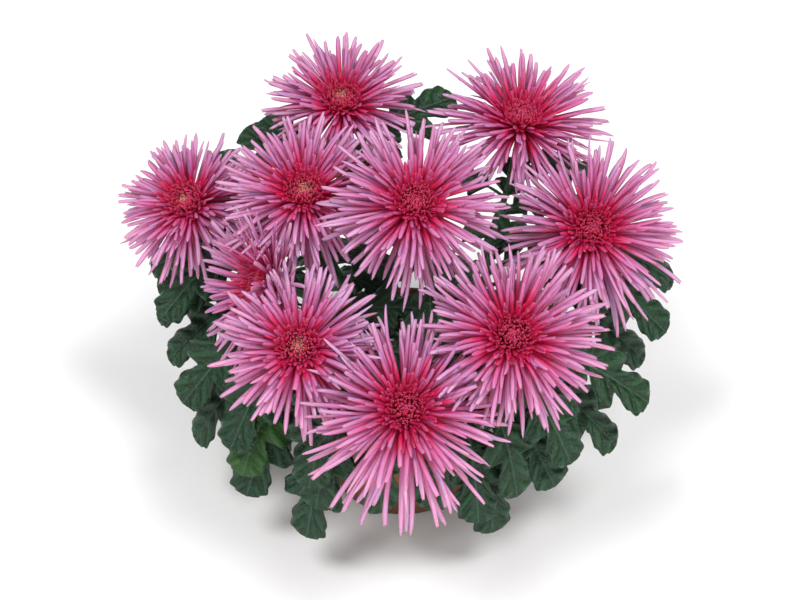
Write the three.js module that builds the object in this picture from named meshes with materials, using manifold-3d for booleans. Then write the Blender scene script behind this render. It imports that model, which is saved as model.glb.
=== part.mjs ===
// Pot chrysanthemum with spidery blooms, together with its pot.
// Millimetres, +Z up. The origin is the middle of the pot's underside, -Y is the front.
import * as THREE from 'three';
import { mergeVertices } from 'three/addons/utils/BufferGeometryUtils.js';
import Module from 'manifold-3d';

const wasm = await Module();
wasm.setup();

// ---- Driving dimensions: millimetres and degrees ----

const GAP = 0.35;
const POT = {
  height: 98, baseRadius: 46, shoulderHeight: 84, shoulderRadius: 64,
  bandRadius: 66.5, rimRadius: 68, wall: 2.6, floor: 2.8, segments: 28,
  drainHoles: 4, drainRadius: 4, drainCircle: 26,
};
const SOIL_TOP = 87;
const STEM = {
  circle: 36, depth: 20, radius: 3.1, hole: 3.8, forkHeight: 138, branchRadius: 2.1,
  mainRuns: 4, branchRuns: 6,
};

// Blooms: middle of the core's top, tilt from upright, way of the tilt (0 is +X, 90 is +Y),
// reach of the outer rays, by how much of it the rays on the low side hang further, and how far
// the bloom is still cupped.
const BLOOMS = [
  { centre: [-39, 108, 218], tilt: 22, towards: 265, reach: 50, hang: -0.15, cup: 0 },
  { centre: [75, 97, 211], tilt: 12, towards: 285, reach: 58, hang: -0.12, cup: 0 },
  { centre: [-135, 49, 182], tilt: 36, towards: 242, reach: 47, hang: 0.1, cup: 0 },
  { centre: [-59, 3, 224], tilt: 30, towards: 275, reach: 51, hang: 0.1, cup: 0 },
  { centre: [7, -23, 236], tilt: 34, towards: 275, reach: 54, hang: 0.08, cup: 0 },
  { centre: [115, 17, 186], tilt: 40, towards: 274, reach: 57, hang: 0.1, cup: 0 },
  { centre: [-81, -33, 181], tilt: 66, towards: 208, reach: 54, hang: 0, cup: 30 },
  { centre: [-60, -89, 182], tilt: 38, towards: 268, reach: 50, hang: 0, cup: 0 },
  { centre: [62, -90, 192], tilt: 38, towards: 275, reach: 56, hang: 0, cup: 0 },
  { centre: [1, -119, 162], tilt: 38, towards: 278, reach: 58, hang: 0.16, cup: 0 },
];
// Cuttings: way of the stem's foot from the pot's axis, and the two blooms it carries.
const CUTTINGS = [
  { way: 130, blooms: [0, 2] },
  { way: 32, blooms: [1, 5] },
  { way: 190, blooms: [3, 6] },
  { way: 250, blooms: [7, 9] },
  { way: 312, blooms: [8, 4] },
];
// Order in which blooms take their room; the later ones bend their rays clear.
const BLOOM_ORDER = [4, 9, 8, 3, 7, 5, 1, 0, 2, 6];

// Rays: three bands round the core of twice "sides" rays, each band twisted by a share of a step.
// Reach (a share of the bloom's), lean from the axis and curl go from the lowest rays to the
// highest ones, and no ray leans less than "steepest".
const RAYS = {
  sides: 8, width: 4.4, thickness: 1.4, coreRadius: 8.8, coreHeight: 5.4,
  twist: [0, 0.17, -0.12],
  reach: [1, 0.97, 0.93, 0.84, 0.68, 0.5],
  lean: [94, 86, 76, 65, 54, 42],
  curl: [13, 12, 9, 5, 2, -4],
  steepest: 37,
};
const DISC = { sides: 6, lean: [36, 24, 10], floret: 5 };

// Leaf outline, half of it: share of the blade's length, share of its half width. Leaves inside the
// plant have the plain one, with a single pair of side lobes.
const LEAF_OUTLINE = [[0, 0.06], [0.18, 0.7], [0.31, 0.4], [0.5, 1], [0.62, 0.43], [0.83, 0.62]];
const PLAIN_OUTLINE = [[0, 0.06], [0.22, 0.78], [0.36, 0.5], [0.68, 1]];
// "Facing" is how far the leaves at the sides turn their faces to the front.
const LEAF = { blade: 66, halfWidth: 0.34, slant: 0.13, facing: 26, thickness: 0.8, stalkThickness: 1.6 };
// Leaves of the plant's outline, lying over each other like shingles: cutting, branch, number of
// leaves, then for the lowest and for the highest one its place on the stem (0 to 1 is the main
// stem, 1 to 2 the branch), its tip, and how far it bends down from root to tip.
const SHINGLES = [
  [4, 0, 3, [0.4, [50, -96, 34], 95], [0.95, [62, -104, 72], 80]],
  [4, 0, 3, [0.5, [90, -72, 42], 80], [1.15, [104, -80, 84], 66]],
  [4, 0, 4, [0.7, [126, -40, 54], 65], [1.3, [150, -40, 104], 52]],
  [1, 1, 3, [0.85, [152, -4, 72], 58], [1.45, [164, 0, 110], 46]],
  [1, 1, 3, [1.2, [158, 30, 108], 52], [1.65, [166, 4, 134], 44]],
  [3, 0, 4, [0.4, [-66, -92, 34], 92], [1.1, [-52, -106, 82], 74]],
  [2, 1, 3, [0.5, [-104, -64, 42], 76], [1.1, [-112, -66, 84], 62]],
  [2, 1, 4, [0.75, [-134, -24, 54], 66], [1.35, [-142, -30, 108], 48]],
  [0, 1, 3, [0.95, [-150, 10, 80], 58], [1.5, [-158, 20, 118], 46]],
  [0, 1, 3, [1.1, [-162, 50, 104], 54], [1.6, [-166, 52, 138], 44]],
  [3, 1, 2, [0.6, [-30, -94, 54], 95], [0.8, [-2, -98, 55], 94]],
  [4, 0, 2, [0.45, [22, -106, 50], 100], [0.75, [28, -112, 72], 92]],
];
// Leaves set by hand in the gaps between the blooms: cutting, branch, place on the stem, tip, bend.
const GAP_LEAVES = [
  [0, 1, 1.45, [-122, 116, 172], 45],
  [0, 1, 1.3, [-118, 84, 170], 45],
  [0, 0, 1.35, [-92, 134, 187], 40],
  [0, 0, 1.2, [-114, 134, 174], 45],
  [0, 0, 1.6, [34, 146, 196], 45],
  [0, 0, 1.4, [-4, 126, 170], 45],
  [1, 0, 1.5, [14, 106, 166], 40],
  [1, 1, 1.5, [38, 62, 150], 35],
  [1, 1, 1.7, [46, 44, 136], 35],
  [1, 1, 1.3, [142, -6, 126], 45],
  [1, 0, 1.4, [84, 116, 180], 35],
  [1, 0, 1.3, [98, 84, 150], 40],
  [1, 1, 1.6, [112, 84, 162], 36],
  [4, 1, 1.2, [34, 36, 150], 40],
  [0, 0, 1.2, [27, 46, 156], 40],
  [0, 0, 1.05, [6, 24, 150], 40],
  [0, 0, 1.3, [-60, 40, 168], 40],
  [2, 1, 1.3, [-136, 4, 112], 50],
  [2, 0, 1.2, [-104, 8, 138], 50],
  [2, 0, 0.95, [18, 0, 142], 40],
  [0, 0, 0.8, [4, 8, 126], 45],
  [1, 0, 0.75, [14, -16, 128], 45],
  [2, 0, 0.8, [0, -18, 118], 40],
  [3, 1, 1.15, [-40, -48, 140], 45],
  [4, 1, 0.95, [14, -56, 130], 45],
  [1, 0, 0.9, [56, -30, 128], 45],
  [0, 0, 0.6, [-22, 110, 62], 100],
  [1, 0, 0.6, [44, 106, 60], 100],
  [0, 0, 0.9, [-71, 102, 88], 50],
  [4, 1, 1.7, [1, 0, 160], 70],
];
const FILL_LEAVES = 7;

// ---- Small maths ----

const rad = (degrees) => (degrees * Math.PI) / 180;
const mix = (a, b, t) => a + (b - a) * t;
const add = (a, b, k = 1) => [a[0] + b[0] * k, a[1] + b[1] * k, a[2] + b[2] * k];
const sub = (a, b) => add(a, b, -1);
const dot = (a, b) => a[0] * b[0] + a[1] * b[1] + a[2] * b[2];
const cross = (a, b) => [
  a[1] * b[2] - a[2] * b[1], a[2] * b[0] - a[0] * b[2], a[0] * b[1] - a[1] * b[0],
];
const size = (a) => Math.sqrt(dot(a, a));
const unit = (a) => add([0, 0, 0], a, 1 / size(a));
const apart = (a, b) => size(sub(a, b));

// A seeded source of numbers from 0 to 1.
function numbers(seed) {
  let state = seed >>> 0;
  return () => {
    state = (state + 0x6d2b79f5) >>> 0;
    let t = Math.imul(state ^ (state >>> 15), state | 1);
    t = (t + Math.imul(t ^ (t >>> 7), t | 61)) ^ t;
    return ((t ^ (t >>> 14)) >>> 0) / 4294967296;
  };
}

// ---- Closed bodies ----

// A body from corner points and triangles.
function bodyOf(points, triangles) {
  const mesh = new wasm.Mesh({
    numProp: 3,
    vertProperties: new Float32Array(points.flat()),
    triVerts: new Uint32Array(triangles.flat()),
  });
  mesh.merge();
  return new wasm.Manifold(mesh);
}

// A body from a closed three.js geometry, its doubled corners joined and its empty triangles left out.
function bodyOfGeometry(geometry) {
  const bare = geometry.clone();
  bare.deleteAttribute('normal');
  bare.deleteAttribute('uv');
  const joined = mergeVertices(bare, 1e-3);
  const place = joined.attributes.position;
  const points = [];
  for (let i = 0; i < place.count; i += 1) {
    points.push([place.getX(i), place.getY(i), place.getZ(i)]);
  }
  const triangles = [];
  for (let i = 0; i < joined.index.count; i += 3) {
    const [a, b, c] = [0, 1, 2].map((k) => joined.index.getX(i + k));
    if (a !== b && b !== c && c !== a) {
      triangles.push([a, b, c]);
    }
  }
  return bodyOf(points, triangles);
}

function geometryOf(body) {
  const mesh = body.getMesh();
  const geometry = new THREE.BufferGeometry();
  geometry.setAttribute('position', new THREE.BufferAttribute(new Float32Array(mesh.vertProperties), 3));
  geometry.setIndex(new THREE.BufferAttribute(new Uint32Array(mesh.triVerts), 1));
  return geometry;
}

// A body of rings of corners, each ring with the same number, closed at both ends.
// An end given as a single corner closes to a point.
function bodyOfRings(rings) {
  const points = rings.flat();
  const starts = [];
  let next = 0;
  rings.forEach((ring) => {
    starts.push(next);
    next += ring.length;
  });
  const triangles = [];
  for (let r = 0; r + 1 < rings.length; r += 1) {
    const count = Math.max(rings[r].length, rings[r + 1].length);
    for (let i = 0; i < count; i += 1) {
      const j = (i + 1) % count;
      const low = rings[r].length === 1 ? [starts[r], starts[r]] : [starts[r] + i, starts[r] + j];
      const high = rings[r + 1].length === 1
        ? [starts[r + 1], starts[r + 1]]
        : [starts[r + 1] + i, starts[r + 1] + j];
      if (low[0] !== low[1]) {
        triangles.push([low[0], low[1], high[1]]);
      }
      if (high[0] !== high[1]) {
        triangles.push([low[0], high[1], high[0]]);
      }
    }
  }
  const last = rings.length - 1;
  for (let i = 1; i + 1 < rings[0].length; i += 1) {
    triangles.push([starts[0], starts[0] + i + 1, starts[0] + i]);
  }
  for (let i = 1; i + 1 < rings[last].length; i += 1) {
    triangles.push([starts[last], starts[last] + i, starts[last] + i + 1]);
  }
  return bodyOf(points, triangles);
}

// Two directions square to a given one.
function sidesOf(along) {
  const start = Math.abs(along[2]) < 0.9 ? [0, 0, 1] : [1, 0, 0];
  const first = unit(cross(start, along));
  return [first, cross(along, first)];
}

// A ring of corners round a point, square to a direction.
function ringAt(middle, along, radius, count, turn = 0) {
  const [right, up] = sidesOf(along);
  const ring = [];
  for (let i = 0; i < count; i += 1) {
    const angle = rad(turn + (360 * i) / count);
    ring.push(add(add(middle, right, radius * Math.cos(angle)), up, radius * Math.sin(angle)));
  }
  return ring;
}

// A rod through points, its radius going from one value to another.
function rod(path, startRadius, endRadius, sides) {
  const rings = path.map((point, i) => {
    const before = path[Math.max(0, i - 1)];
    const after = path[Math.min(path.length - 1, i + 1)];
    const radius = mix(startRadius, endRadius, i / (path.length - 1));
    return ringAt(point, unit(sub(after, before)), radius, sides);
  });
  return bodyOfRings(rings);
}

// ---- Pot and potting mix ----

const potInner = (z) => {
  const slope = (POT.shoulderRadius - POT.baseRadius) / POT.shoulderHeight;
  return POT.baseRadius - POT.wall + slope * z;
};
const potOuter = (z) => {
  const wall = mix(POT.baseRadius, POT.shoulderRadius, Math.max(0, z) / POT.shoulderHeight);
  return z < POT.shoulderHeight - 3 ? wall : POT.rimRadius;
};

function turned(profile) {
  const points = profile.map(([radius, z]) => new THREE.Vector2(radius, z));
  const geometry = new THREE.LatheGeometry(points, POT.segments);
  geometry.rotateX(Math.PI / 2);
  return bodyOfGeometry(geometry);
}

function pin(x, y, low, high, radius, sides) {
  const geometry = new THREE.CylinderGeometry(radius, radius, high - low, sides);
  geometry.rotateX(Math.PI / 2);
  geometry.translate(x, y, (low + high) / 2);
  return bodyOfGeometry(geometry);
}

function potBody() {
  let pot = turned([
    [0, 0], [POT.baseRadius, 0], [POT.shoulderRadius, POT.shoulderHeight],
    [POT.bandRadius, POT.shoulderHeight], [POT.rimRadius, POT.height],
    [potInner(POT.height), POT.height], [potInner(POT.floor), POT.floor], [0, POT.floor],
  ]);
  for (let i = 0; i < POT.drainHoles; i += 1) {
    const angle = rad(45 + (360 * i) / POT.drainHoles);
    const x = POT.drainCircle * Math.cos(angle);
    const y = POT.drainCircle * Math.sin(angle);
    pot = pot.subtract(pin(x, y, -1, POT.floor + 1, POT.drainRadius, 8));
  }
  return pot;
}

function soilBody() {
  const low = POT.floor + GAP;
  const random = numbers(7);
  const rings = [[[0, 0, low]]];
  const ring = (radius, z, rough) => {
    const corners = [];
    for (let i = 0; i < POT.segments; i += 1) {
      const angle = (2 * Math.PI * i) / POT.segments;
      const height = z + rough * (random() - 0.5);
      corners.push([radius * Math.cos(angle), radius * Math.sin(angle), height]);
    }
    return corners;
  };
  rings.push(ring(potInner(low) - GAP, low, 0));
  rings.push(ring(potInner(SOIL_TOP) - GAP, SOIL_TOP, 0));
  rings.push(ring(50, SOIL_TOP, 4));
  rings.push(ring(22, SOIL_TOP + 0.5, 3));
  rings.push([[0, 0, SOIL_TOP + 1]]);
  let soil = bodyOfRings(rings);
  CUTTINGS.forEach((cutting) => {
    const x = STEM.circle * Math.cos(rad(cutting.way));
    const y = STEM.circle * Math.sin(rad(cutting.way));
    soil = soil.subtract(pin(x, y, SOIL_TOP - STEM.depth - 1, SOIL_TOP + 9, STEM.hole, 8));
  });
  return soil;
}

// ---- Stems ----

function axisOf(bloom) {
  const tilt = rad(bloom.tilt);
  const way = rad(bloom.towards);
  return [Math.sin(tilt) * Math.cos(way), Math.sin(tilt) * Math.sin(way), Math.cos(tilt)];
}

// A point of a four-point curve.
function onCurve(curve, t) {
  const k = 1 - t;
  const weights = [k * k * k, 3 * k * k * t, 3 * k * t * t, t * t * t];
  return curve.reduce((sum, point, i) => add(sum, point, weights[i]), [0, 0, 0]);
}

// The main stem's curve and the curves of the two branches.
function curvesOf(cutting) {
  const foot = [
    STEM.circle * Math.cos(rad(cutting.way)), STEM.circle * Math.sin(rad(cutting.way)), SOIL_TOP,
  ];
  const [one, two] = cutting.blooms.map((i) => BLOOMS[i].centre);
  const fork = [
    mix(foot[0], (one[0] + two[0]) / 2, 0.35),
    mix(foot[1], (one[1] + two[1]) / 2, 0.35),
    STEM.forkHeight,
  ];
  const main = [
    add(foot, [0, 0, 4]),
    add(foot, [0, 0, 20]),
    [mix(foot[0], fork[0], 0.7), mix(foot[1], fork[1], 0.7), STEM.forkHeight - 16],
    fork,
  ];
  const branches = cutting.blooms.map((i) => {
    const bloom = BLOOMS[i];
    const axis = axisOf(bloom);
    const end = add(bloom.centre, axis, -(RAYS.coreHeight + GAP + 1));
    const away = sub(bloom.centre, fork);
    const far = size(away);
    return [
      fork, add(fork, [away[0] * 0.22, away[1] * 0.22, 0.24 * far]), add(end, axis, -0.34 * far), end,
    ];
  });
  return { foot, main, branches };
}

const CURVES = CUTTINGS.map(curvesOf);

// A place on a curve drawn with straight runs.
function onRuns(curve, t, runs) {
  const before = Math.min(runs - 1, Math.floor(t * runs));
  const start = onCurve(curve, before / runs);
  return add(start, sub(onCurve(curve, (before + 1) / runs), start), t * runs - before);
}

// A place on a cutting: 0 to 1 along the main stem, 1 to 2 along a branch.
function stemPoint(cutting, place, branch) {
  const curves = CURVES[cutting];
  return place <= 1
    ? onRuns(curves.main, place, STEM.mainRuns)
    : onRuns(curves.branches[branch], place - 1, STEM.branchRuns);
}

// ---- Leaves ----

// The middle line of a leaf one long that starts level: it bends down by "bend" in all, most of it
// near the stem.
function arcOf(bend) {
  const steps = 24;
  const points = [[0, 0, 0]];
  for (let i = 0; i < steps; i += 1) {
    const share = (i + 0.5) / steps;
    const pitch = -bend * share * (2 - share);
    const [run, rise] = points[i];
    points.push([run + Math.cos(pitch) / steps, rise + Math.sin(pitch) / steps, 0]);
  }
  return points;
}

// The middle line at a share of the leaf's length, with the blade's directions to the side and up.
function leafMiddle(leaf, share) {
  const along = share * (leaf.arc.length - 1);
  const before = Math.min(leaf.arc.length - 2, Math.floor(along));
  const flat = add(leaf.arc[before], sub(leaf.arc[before + 1], leaf.arc[before]), along - before);
  const run = leaf.length * (flat[0] * Math.cos(leaf.pitch) - flat[1] * Math.sin(leaf.pitch));
  const rise = leaf.length * (flat[0] * Math.sin(leaf.pitch) + flat[1] * Math.cos(leaf.pitch));
  const now = leaf.pitch - leaf.bend * share * (2 - share);
  const ahead = [Math.cos(leaf.way), Math.sin(leaf.way)];
  const point = [leaf.root[0] + ahead[0] * run, leaf.root[1] + ahead[1] * run, leaf.root[2] + rise];
  const level = [-ahead[1], ahead[0], 0];
  const upright = [-Math.sin(now) * ahead[0], -Math.sin(now) * ahead[1], Math.cos(now)];
  const roll = leaf.roll * Math.min(1, share * 3);
  const side = add(add([0, 0, 0], level, Math.cos(roll)), upright, Math.sin(roll));
  const up = add(add([0, 0, 0], upright, Math.cos(roll)), level, -Math.sin(roll));
  return { point, side, up };
}

// A point of the blade: share of the length, and share of the half width, left or right.
function leafPoint(leaf, share, across, lift = 0) {
  const { point, side, up } = leafMiddle(leaf, share);
  const width = across * leaf.length * (1 - leaf.stalk) * LEAF.halfWidth;
  const height = leaf.fold * Math.abs(width) + lift;
  return add(add(point, side, width), up, height);
}

// Half width of the room of a blade, as a share of the blade's half width, along its length.
function roomAcross(blade) {
  const places = [-0.02, 0.18, 0.5, 0.83, 1];
  const widths = [0, 0.76, 1, 0.74, 0.3];
  const next = places.findIndex((place) => place > blade);
  if (next === 0) {
    return 0;
  }
  if (next < 0) {
    return widths[4];
  }
  const share = (blade - places[next - 1]) / (places[next] - places[next - 1]);
  return mix(widths[next - 1], widths[next], share);
}

// Points spread over a leaf about this far apart keep it clear of others.
const SPREAD = 5.5;
function leafSpread(leaf) {
  const points = [];
  const steps = Math.round(leaf.length / SPREAD);
  for (let i = 1; i <= steps; i += 1) {
    const share = i / steps;
    const width = roomAcross((share - leaf.stalk) / (1 - leaf.stalk));
    const across = width > 0.5 ? [-1, -0.66, -0.33, 0, 0.33, 0.66, 1] : [-0.7, 0, 0.7];
    if (width === 0) {
      points.push(leafPoint(leaf, share, 0));
    } else {
      across.forEach((k) => points.push(leafPoint(leaf, share, k * width)));
    }
  }
  return points;
}

// True where a point is in the room kept for a bloom.
function underBloom(point, bloom) {
  const from = sub(point, bloom.centre);
  const height = dot(from, axisOf(bloom));
  const out = Math.sqrt(Math.max(0, dot(from, from) - height * height));
  const droop = 0.27 - bloom.cup / 60;
  return out < bloom.reach * 1.06 + 2 && height > -8 - droop * out && height < 45;
}

// Stem points of every cutting, for keeping leaves of others clear.
const STEM_POINTS = CUTTINGS.map((cutting, index) => {
  const points = [];
  for (let i = 0; i <= 10; i += 1) {
    points.push(stemPoint(index, i / 10, 0));
  }
  for (let branch = 0; branch < 2; branch += 1) {
    for (let i = 1; i <= 20; i += 1) {
      points.push(stemPoint(index, 1 + i / 20, branch));
    }
  }
  return points;
});

function leafIsClear(leaf, spread, placed) {
  const roomy = spread.every((point) => {
    const out = Math.hypot(point[0], point[1]);
    if (point[2] < 6 || (point[2] < POT.height + 4 && out < potOuter(point[2]) + 5)) {
      return false;
    }
    return !BLOOMS.some((bloom) => underBloom(point, bloom));
  });
  if (!roomy) {
    return false;
  }
  const stems = STEM_POINTS.every((points, cutting) => cutting === leaf.cutting
    || spread.every((point) => points.every((other) => apart(point, other) > 7)));
  // Leaves of one cutting may cross each other's stalks.
  const bladeOf = (one, points) => points.slice(Math.floor(one.stalk * Math.round(one.length / SPREAD)));
  return stems && placed.every((other) => {
    if (apart(other.spread[0], spread[0]) > other.leaf.length + leaf.length + 7) {
      return true;
    }
    const same = other.leaf.cutting === leaf.cutting;
    const room = same ? 4.2 : 6.4;
    const mine = same ? bladeOf(leaf, spread) : spread;
    const others = same ? bladeOf(other.leaf, other.spread) : other.spread;
    return mine.every((point) => others.every((near) => apart(point, near) > room));
  });
}

// A leaf from its root to a wanted tip, hanging in an arc.
function leafTo(cutting, place, branch, tip, bendDegrees, outline) {
  const root = stemPoint(cutting, place, branch);
  const out = Math.hypot(tip[0] - root[0], tip[1] - root[1]);
  const chord = Math.hypot(out, tip[2] - root[2]);
  const bend = rad(bendDegrees);
  const arc = arcOf(bend);
  const [run, rise] = arc[arc.length - 1];
  const length = chord / Math.hypot(run, rise);
  const way = Math.atan2(tip[1] - root[1], tip[0] - root[0]);
  return {
    cutting, root, bend, arc, length, way, outline,
    roll: rad(LEAF.facing) * Math.cos(way),
    fold: 0.1,
    pitch: Math.atan2(tip[2] - root[2], out) - Math.atan2(rise, run),
    stalk: Math.max(0.2, 1 - LEAF.blade / length),
  };
}

// A filling leaf by number: they climb the stem and turn round it, mostly facing outwards.
function fillLeaf(cutting, number, random) {
  const climb = number / (FILL_LEAVES - 1);
  const place = mix(0.4, 1.72, climb);
  const branch = number % 2;
  const turn = ((number * 137.5 + cutting * 40) % 360) - 180;
  const way = CUTTINGS[cutting].way + turn * mix(0.6, 1, climb);
  const bend = rad(mix(88, 46, climb));
  return {
    cutting,
    bend,
    arc: arcOf(bend),
    outline: PLAIN_OUTLINE,
    root: stemPoint(cutting, place, branch),
    way: rad(way),
    pitch: rad(mix(16, 26, climb) + 12 * (random() - 0.5)),
    length: mix(86, 56, climb) * (0.9 + 0.2 * random()),
    stalk: mix(0.3, 0.2, climb),
    roll: rad(30 * (random() - 0.5) + 0.6 * LEAF.facing * Math.cos(rad(way))),
    fold: 0.16 - 0.2 * random(),
  };
}

// All leaves, each in the first of its variants that is clear.
function placeLeaves() {
  const placed = [];
  const tryLeaf = (variants) => {
    for (const leaf of variants) {
      const spread = leafSpread(leaf);
      if (leafIsClear(leaf, spread, placed)) {
        placed.push({ leaf, spread });
        return;
      }
    }
  };
  const setLeaf = ([cutting, branch, place, tip, bend], outline, sway, tilt) => {
    const variants = [];
    [1, 0.9].forEach((reach) => {
      [0, 0.1, -0.1].forEach((shift) => {
        [0, 7, -7, 14, -14].forEach((turn) => {
          [1, 1.25, 0.8].forEach((more) => {
            const from = Math.max(0.35, place + shift);
            const root = stemPoint(cutting, from, branch);
            const end = add(root, sub(tip, root), reach);
            const leaf = leafTo(cutting, from, branch, end, bend * more, outline);
            variants.push({ ...leaf, way: leaf.way + rad(sway + turn), roll: leaf.roll + rad(tilt) });
          });
        });
      });
    });
    tryLeaf(variants);
  };
  SHINGLES.forEach(([cutting, branch, count, low, high], row) => {
    const random = numbers(700 + row);
    for (let i = 0; i < count; i += 1) {
      const climb = i / (count - 1);
      const tip = low[1].map((value, axis) => mix(value, high[1][axis], climb));
      const wanted = [cutting, branch, mix(low[0], high[0], climb), tip, mix(low[2], high[2], climb)];
      const sway = (i % 2 === 0 ? 8 : -8) + 8 * (random() - 0.5);
      setLeaf(wanted, LEAF_OUTLINE, sway, 32 * (random() - 0.5));
    }
  });
  GAP_LEAVES.forEach((wanted) => setLeaf(wanted, PLAIN_OUTLINE, 0, 0));
  for (let number = 0; number < FILL_LEAVES; number += 1) {
    CUTTINGS.forEach((_, cutting) => {
      const wanted = fillLeaf(cutting, number, numbers(100 + number * 17 + cutting * 5));
      const variants = [];
      [1, 0.84].forEach((size) => {
        [0, 9, -9, 18, -18, 28, -28, 40, -40].forEach((turn) => {
          [0, -9, 9, -20, 18, -32].forEach((pitch) => {
            variants.push({
              ...wanted,
              way: wanted.way + rad(turn),
              pitch: wanted.pitch + rad(pitch),
              length: wanted.length * size,
            });
          });
        });
      });
      tryLeaf(variants);
    });
  }
  return placed;
}

// The leaf as a closed blade: upper face and lower face split alike, with a wall between.
function leafBody(leaf) {
  const onLeaf = (blade) => leaf.stalk + (1 - leaf.stalk) * blade;
  const stations = [[0, 0, 0.055, LEAF.stalkThickness]];
  leaf.outline.forEach(([blade, across]) => {
    const thickness = blade === 0 ? LEAF.stalkThickness : LEAF.thickness;
    stations.push([onLeaf(Math.max(0, blade - LEAF.slant * across)), onLeaf(blade), across, thickness]);
  });
  const points = [];
  const layer = (k) => {
    stations.forEach(([back, share, across, thickness], i) => {
      const wave = (i % 2 === 0 ? -1.3 : 1.1) * across;
      points.push(leafPoint(leaf, back, 0, k * thickness));
      points.push(leafPoint(leaf, share, across, k * thickness + wave));
      points.push(leafPoint(leaf, share, -across, k * thickness + wave));
    });
    points.push(leafPoint(leaf, 1, 0, k * LEAF.thickness));
  };
  layer(0.5);
  layer(-0.5);
  const count = stations.length;
  const tip = 3 * count;
  const shift = tip + 1;
  const upper = [];
  for (let i = 0; i + 1 < count; i += 1) {
    const [m, l, r] = [3 * i, 3 * i + 1, 3 * i + 2];
    const [n, p, q] = [m + 3, l + 3, r + 3];
    upper.push([m, n, p], [m, p, l], [m, r, q], [m, q, n]);
  }
  upper.push([tip - 3, tip, tip - 2], [tip - 3, tip - 1, tip]);
  const triangles = [];
  upper.forEach(([a, b, c]) => {
    triangles.push([a, b, c], [a + shift, c + shift, b + shift]);
  });
  const rim = [];
  for (let i = 0; i < count; i += 1) {
    rim.push(3 * i + 1);
  }
  rim.push(tip);
  for (let i = count - 1; i >= 0; i -= 1) {
    rim.push(3 * i + 2);
  }
  rim.push(0);
  rim.forEach((a, i) => {
    const b = rim[(i + 1) % rim.length];
    triangles.push([a, b, b + shift], [a, b + shift, a + shift]);
  });
  return bodyOf(points, triangles);
}

// ---- A cutting: stems, cups and leaves in one body ----

function cuttingBody(index, leaves) {
  const { foot, main, branches } = CURVES[index];
  const path = [add(foot, [0, 0, -STEM.depth]), foot];
  for (let i = 0; i <= STEM.mainRuns; i += 1) {
    path.push(onCurve(main, i / STEM.mainRuns));
  }
  const pieces = [rod(path, STEM.radius, STEM.branchRadius + 0.3, 5)];
  CUTTINGS[index].blooms.forEach((number, k) => {
    const bloom = BLOOMS[number];
    const axis = axisOf(bloom);
    const way = [];
    for (let i = 0; i <= STEM.branchRuns; i += 1) {
      way.push(onCurve(branches[k], i / STEM.branchRuns));
    }
    pieces.push(rod(way, STEM.branchRadius, STEM.branchRadius - 0.2, 4));
    const top = add(bloom.centre, axis, -(RAYS.coreHeight + GAP));
    pieces.push(bodyOfRings([
      ringAt(add(top, axis, -11), axis, 1.6, 8),
      ringAt(add(top, axis, -6), axis, 6.4, 8),
      ringAt(top, axis, 7.9, 8),
    ]));
  });
  leaves.forEach(({ leaf }) => pieces.push(leafBody(leaf)));
  return unpocketed(wasm.Manifold.union(pieces));
}

// The outer skin of a body, without the small pockets that its leaves seal between them.
function unpocketed(body) {
  return bodyOfGeometry(geometryOf(body)).decompose().find((skin) => skin.volume() > 0);
}

// ---- Blooms ----

// Corners of a turned shell: rings of corners, every second ring set half a step round.
function shellCorners(middle, axis, rings, count) {
  const [right, up] = sidesOf(axis);
  return rings.map(([height, radius], r) => {
    const ring = [];
    for (let i = 0; i < count; i += 1) {
      const angle = ((i + (r % 2) / 2) * 2 * Math.PI) / count;
      const out = add(add([0, 0, 0], right, Math.cos(angle)), up, Math.sin(angle));
      ring.push(add(add(middle, out, radius), axis, height));
    }
    return ring;
  });
}

// The three-cornered fields between the rings of a shell, from the lowest band upwards.
// Fields of a kind "low" have their flat edge below, the others above.
function shellFields(rings, count) {
  const fields = [];
  for (let band = 0; band + 1 < rings; band += 1) {
    for (let i = 0; i < count; i += 1) {
      const j = (i + 1) % count;
      const lower = band * count;
      const upper = lower + count;
      if (band % 2 === 0) {
        fields.push({ band, low: true, corners: [lower + i, lower + j, upper + i], step: i + 0.5 });
        fields.push({ band, low: false, corners: [upper + i, lower + j, upper + j], step: i + 1 });
      } else {
        fields.push({ band, low: true, corners: [lower + i, lower + j, upper + j], step: i + 1 });
        fields.push({ band, low: false, corners: [upper + i, lower + i, upper + j], step: i + 0.5 });
      }
    }
  }
  return fields;
}

const CORE_RINGS = [[-RAYS.coreHeight, 7.6], [-3.7, RAYS.coreRadius], [-1.9, 8.1], [0, 6.6]];

// Points of a ray's middle line: its field on the core, the narrow root, the broad end and the tip.
function rayLine(bloom, ray) {
  const axis = axisOf(bloom);
  const [right, up] = sidesOf(axis);
  const out = add(add([0, 0, 0], right, Math.cos(ray.turn)), up, Math.sin(ray.turn));
  const line = [ray.root];
  [0.22, 0.46, 0.32].forEach((share, i) => {
    const lean = rad(ray.lean + ray.curl * [0, 0.5, 1][i]);
    const step = add(add([0, 0, 0], out, Math.sin(lean)), axis, Math.cos(lean));
    line.push(add(line[i], step, ray.length * share));
  });
  return line;
}

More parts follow.
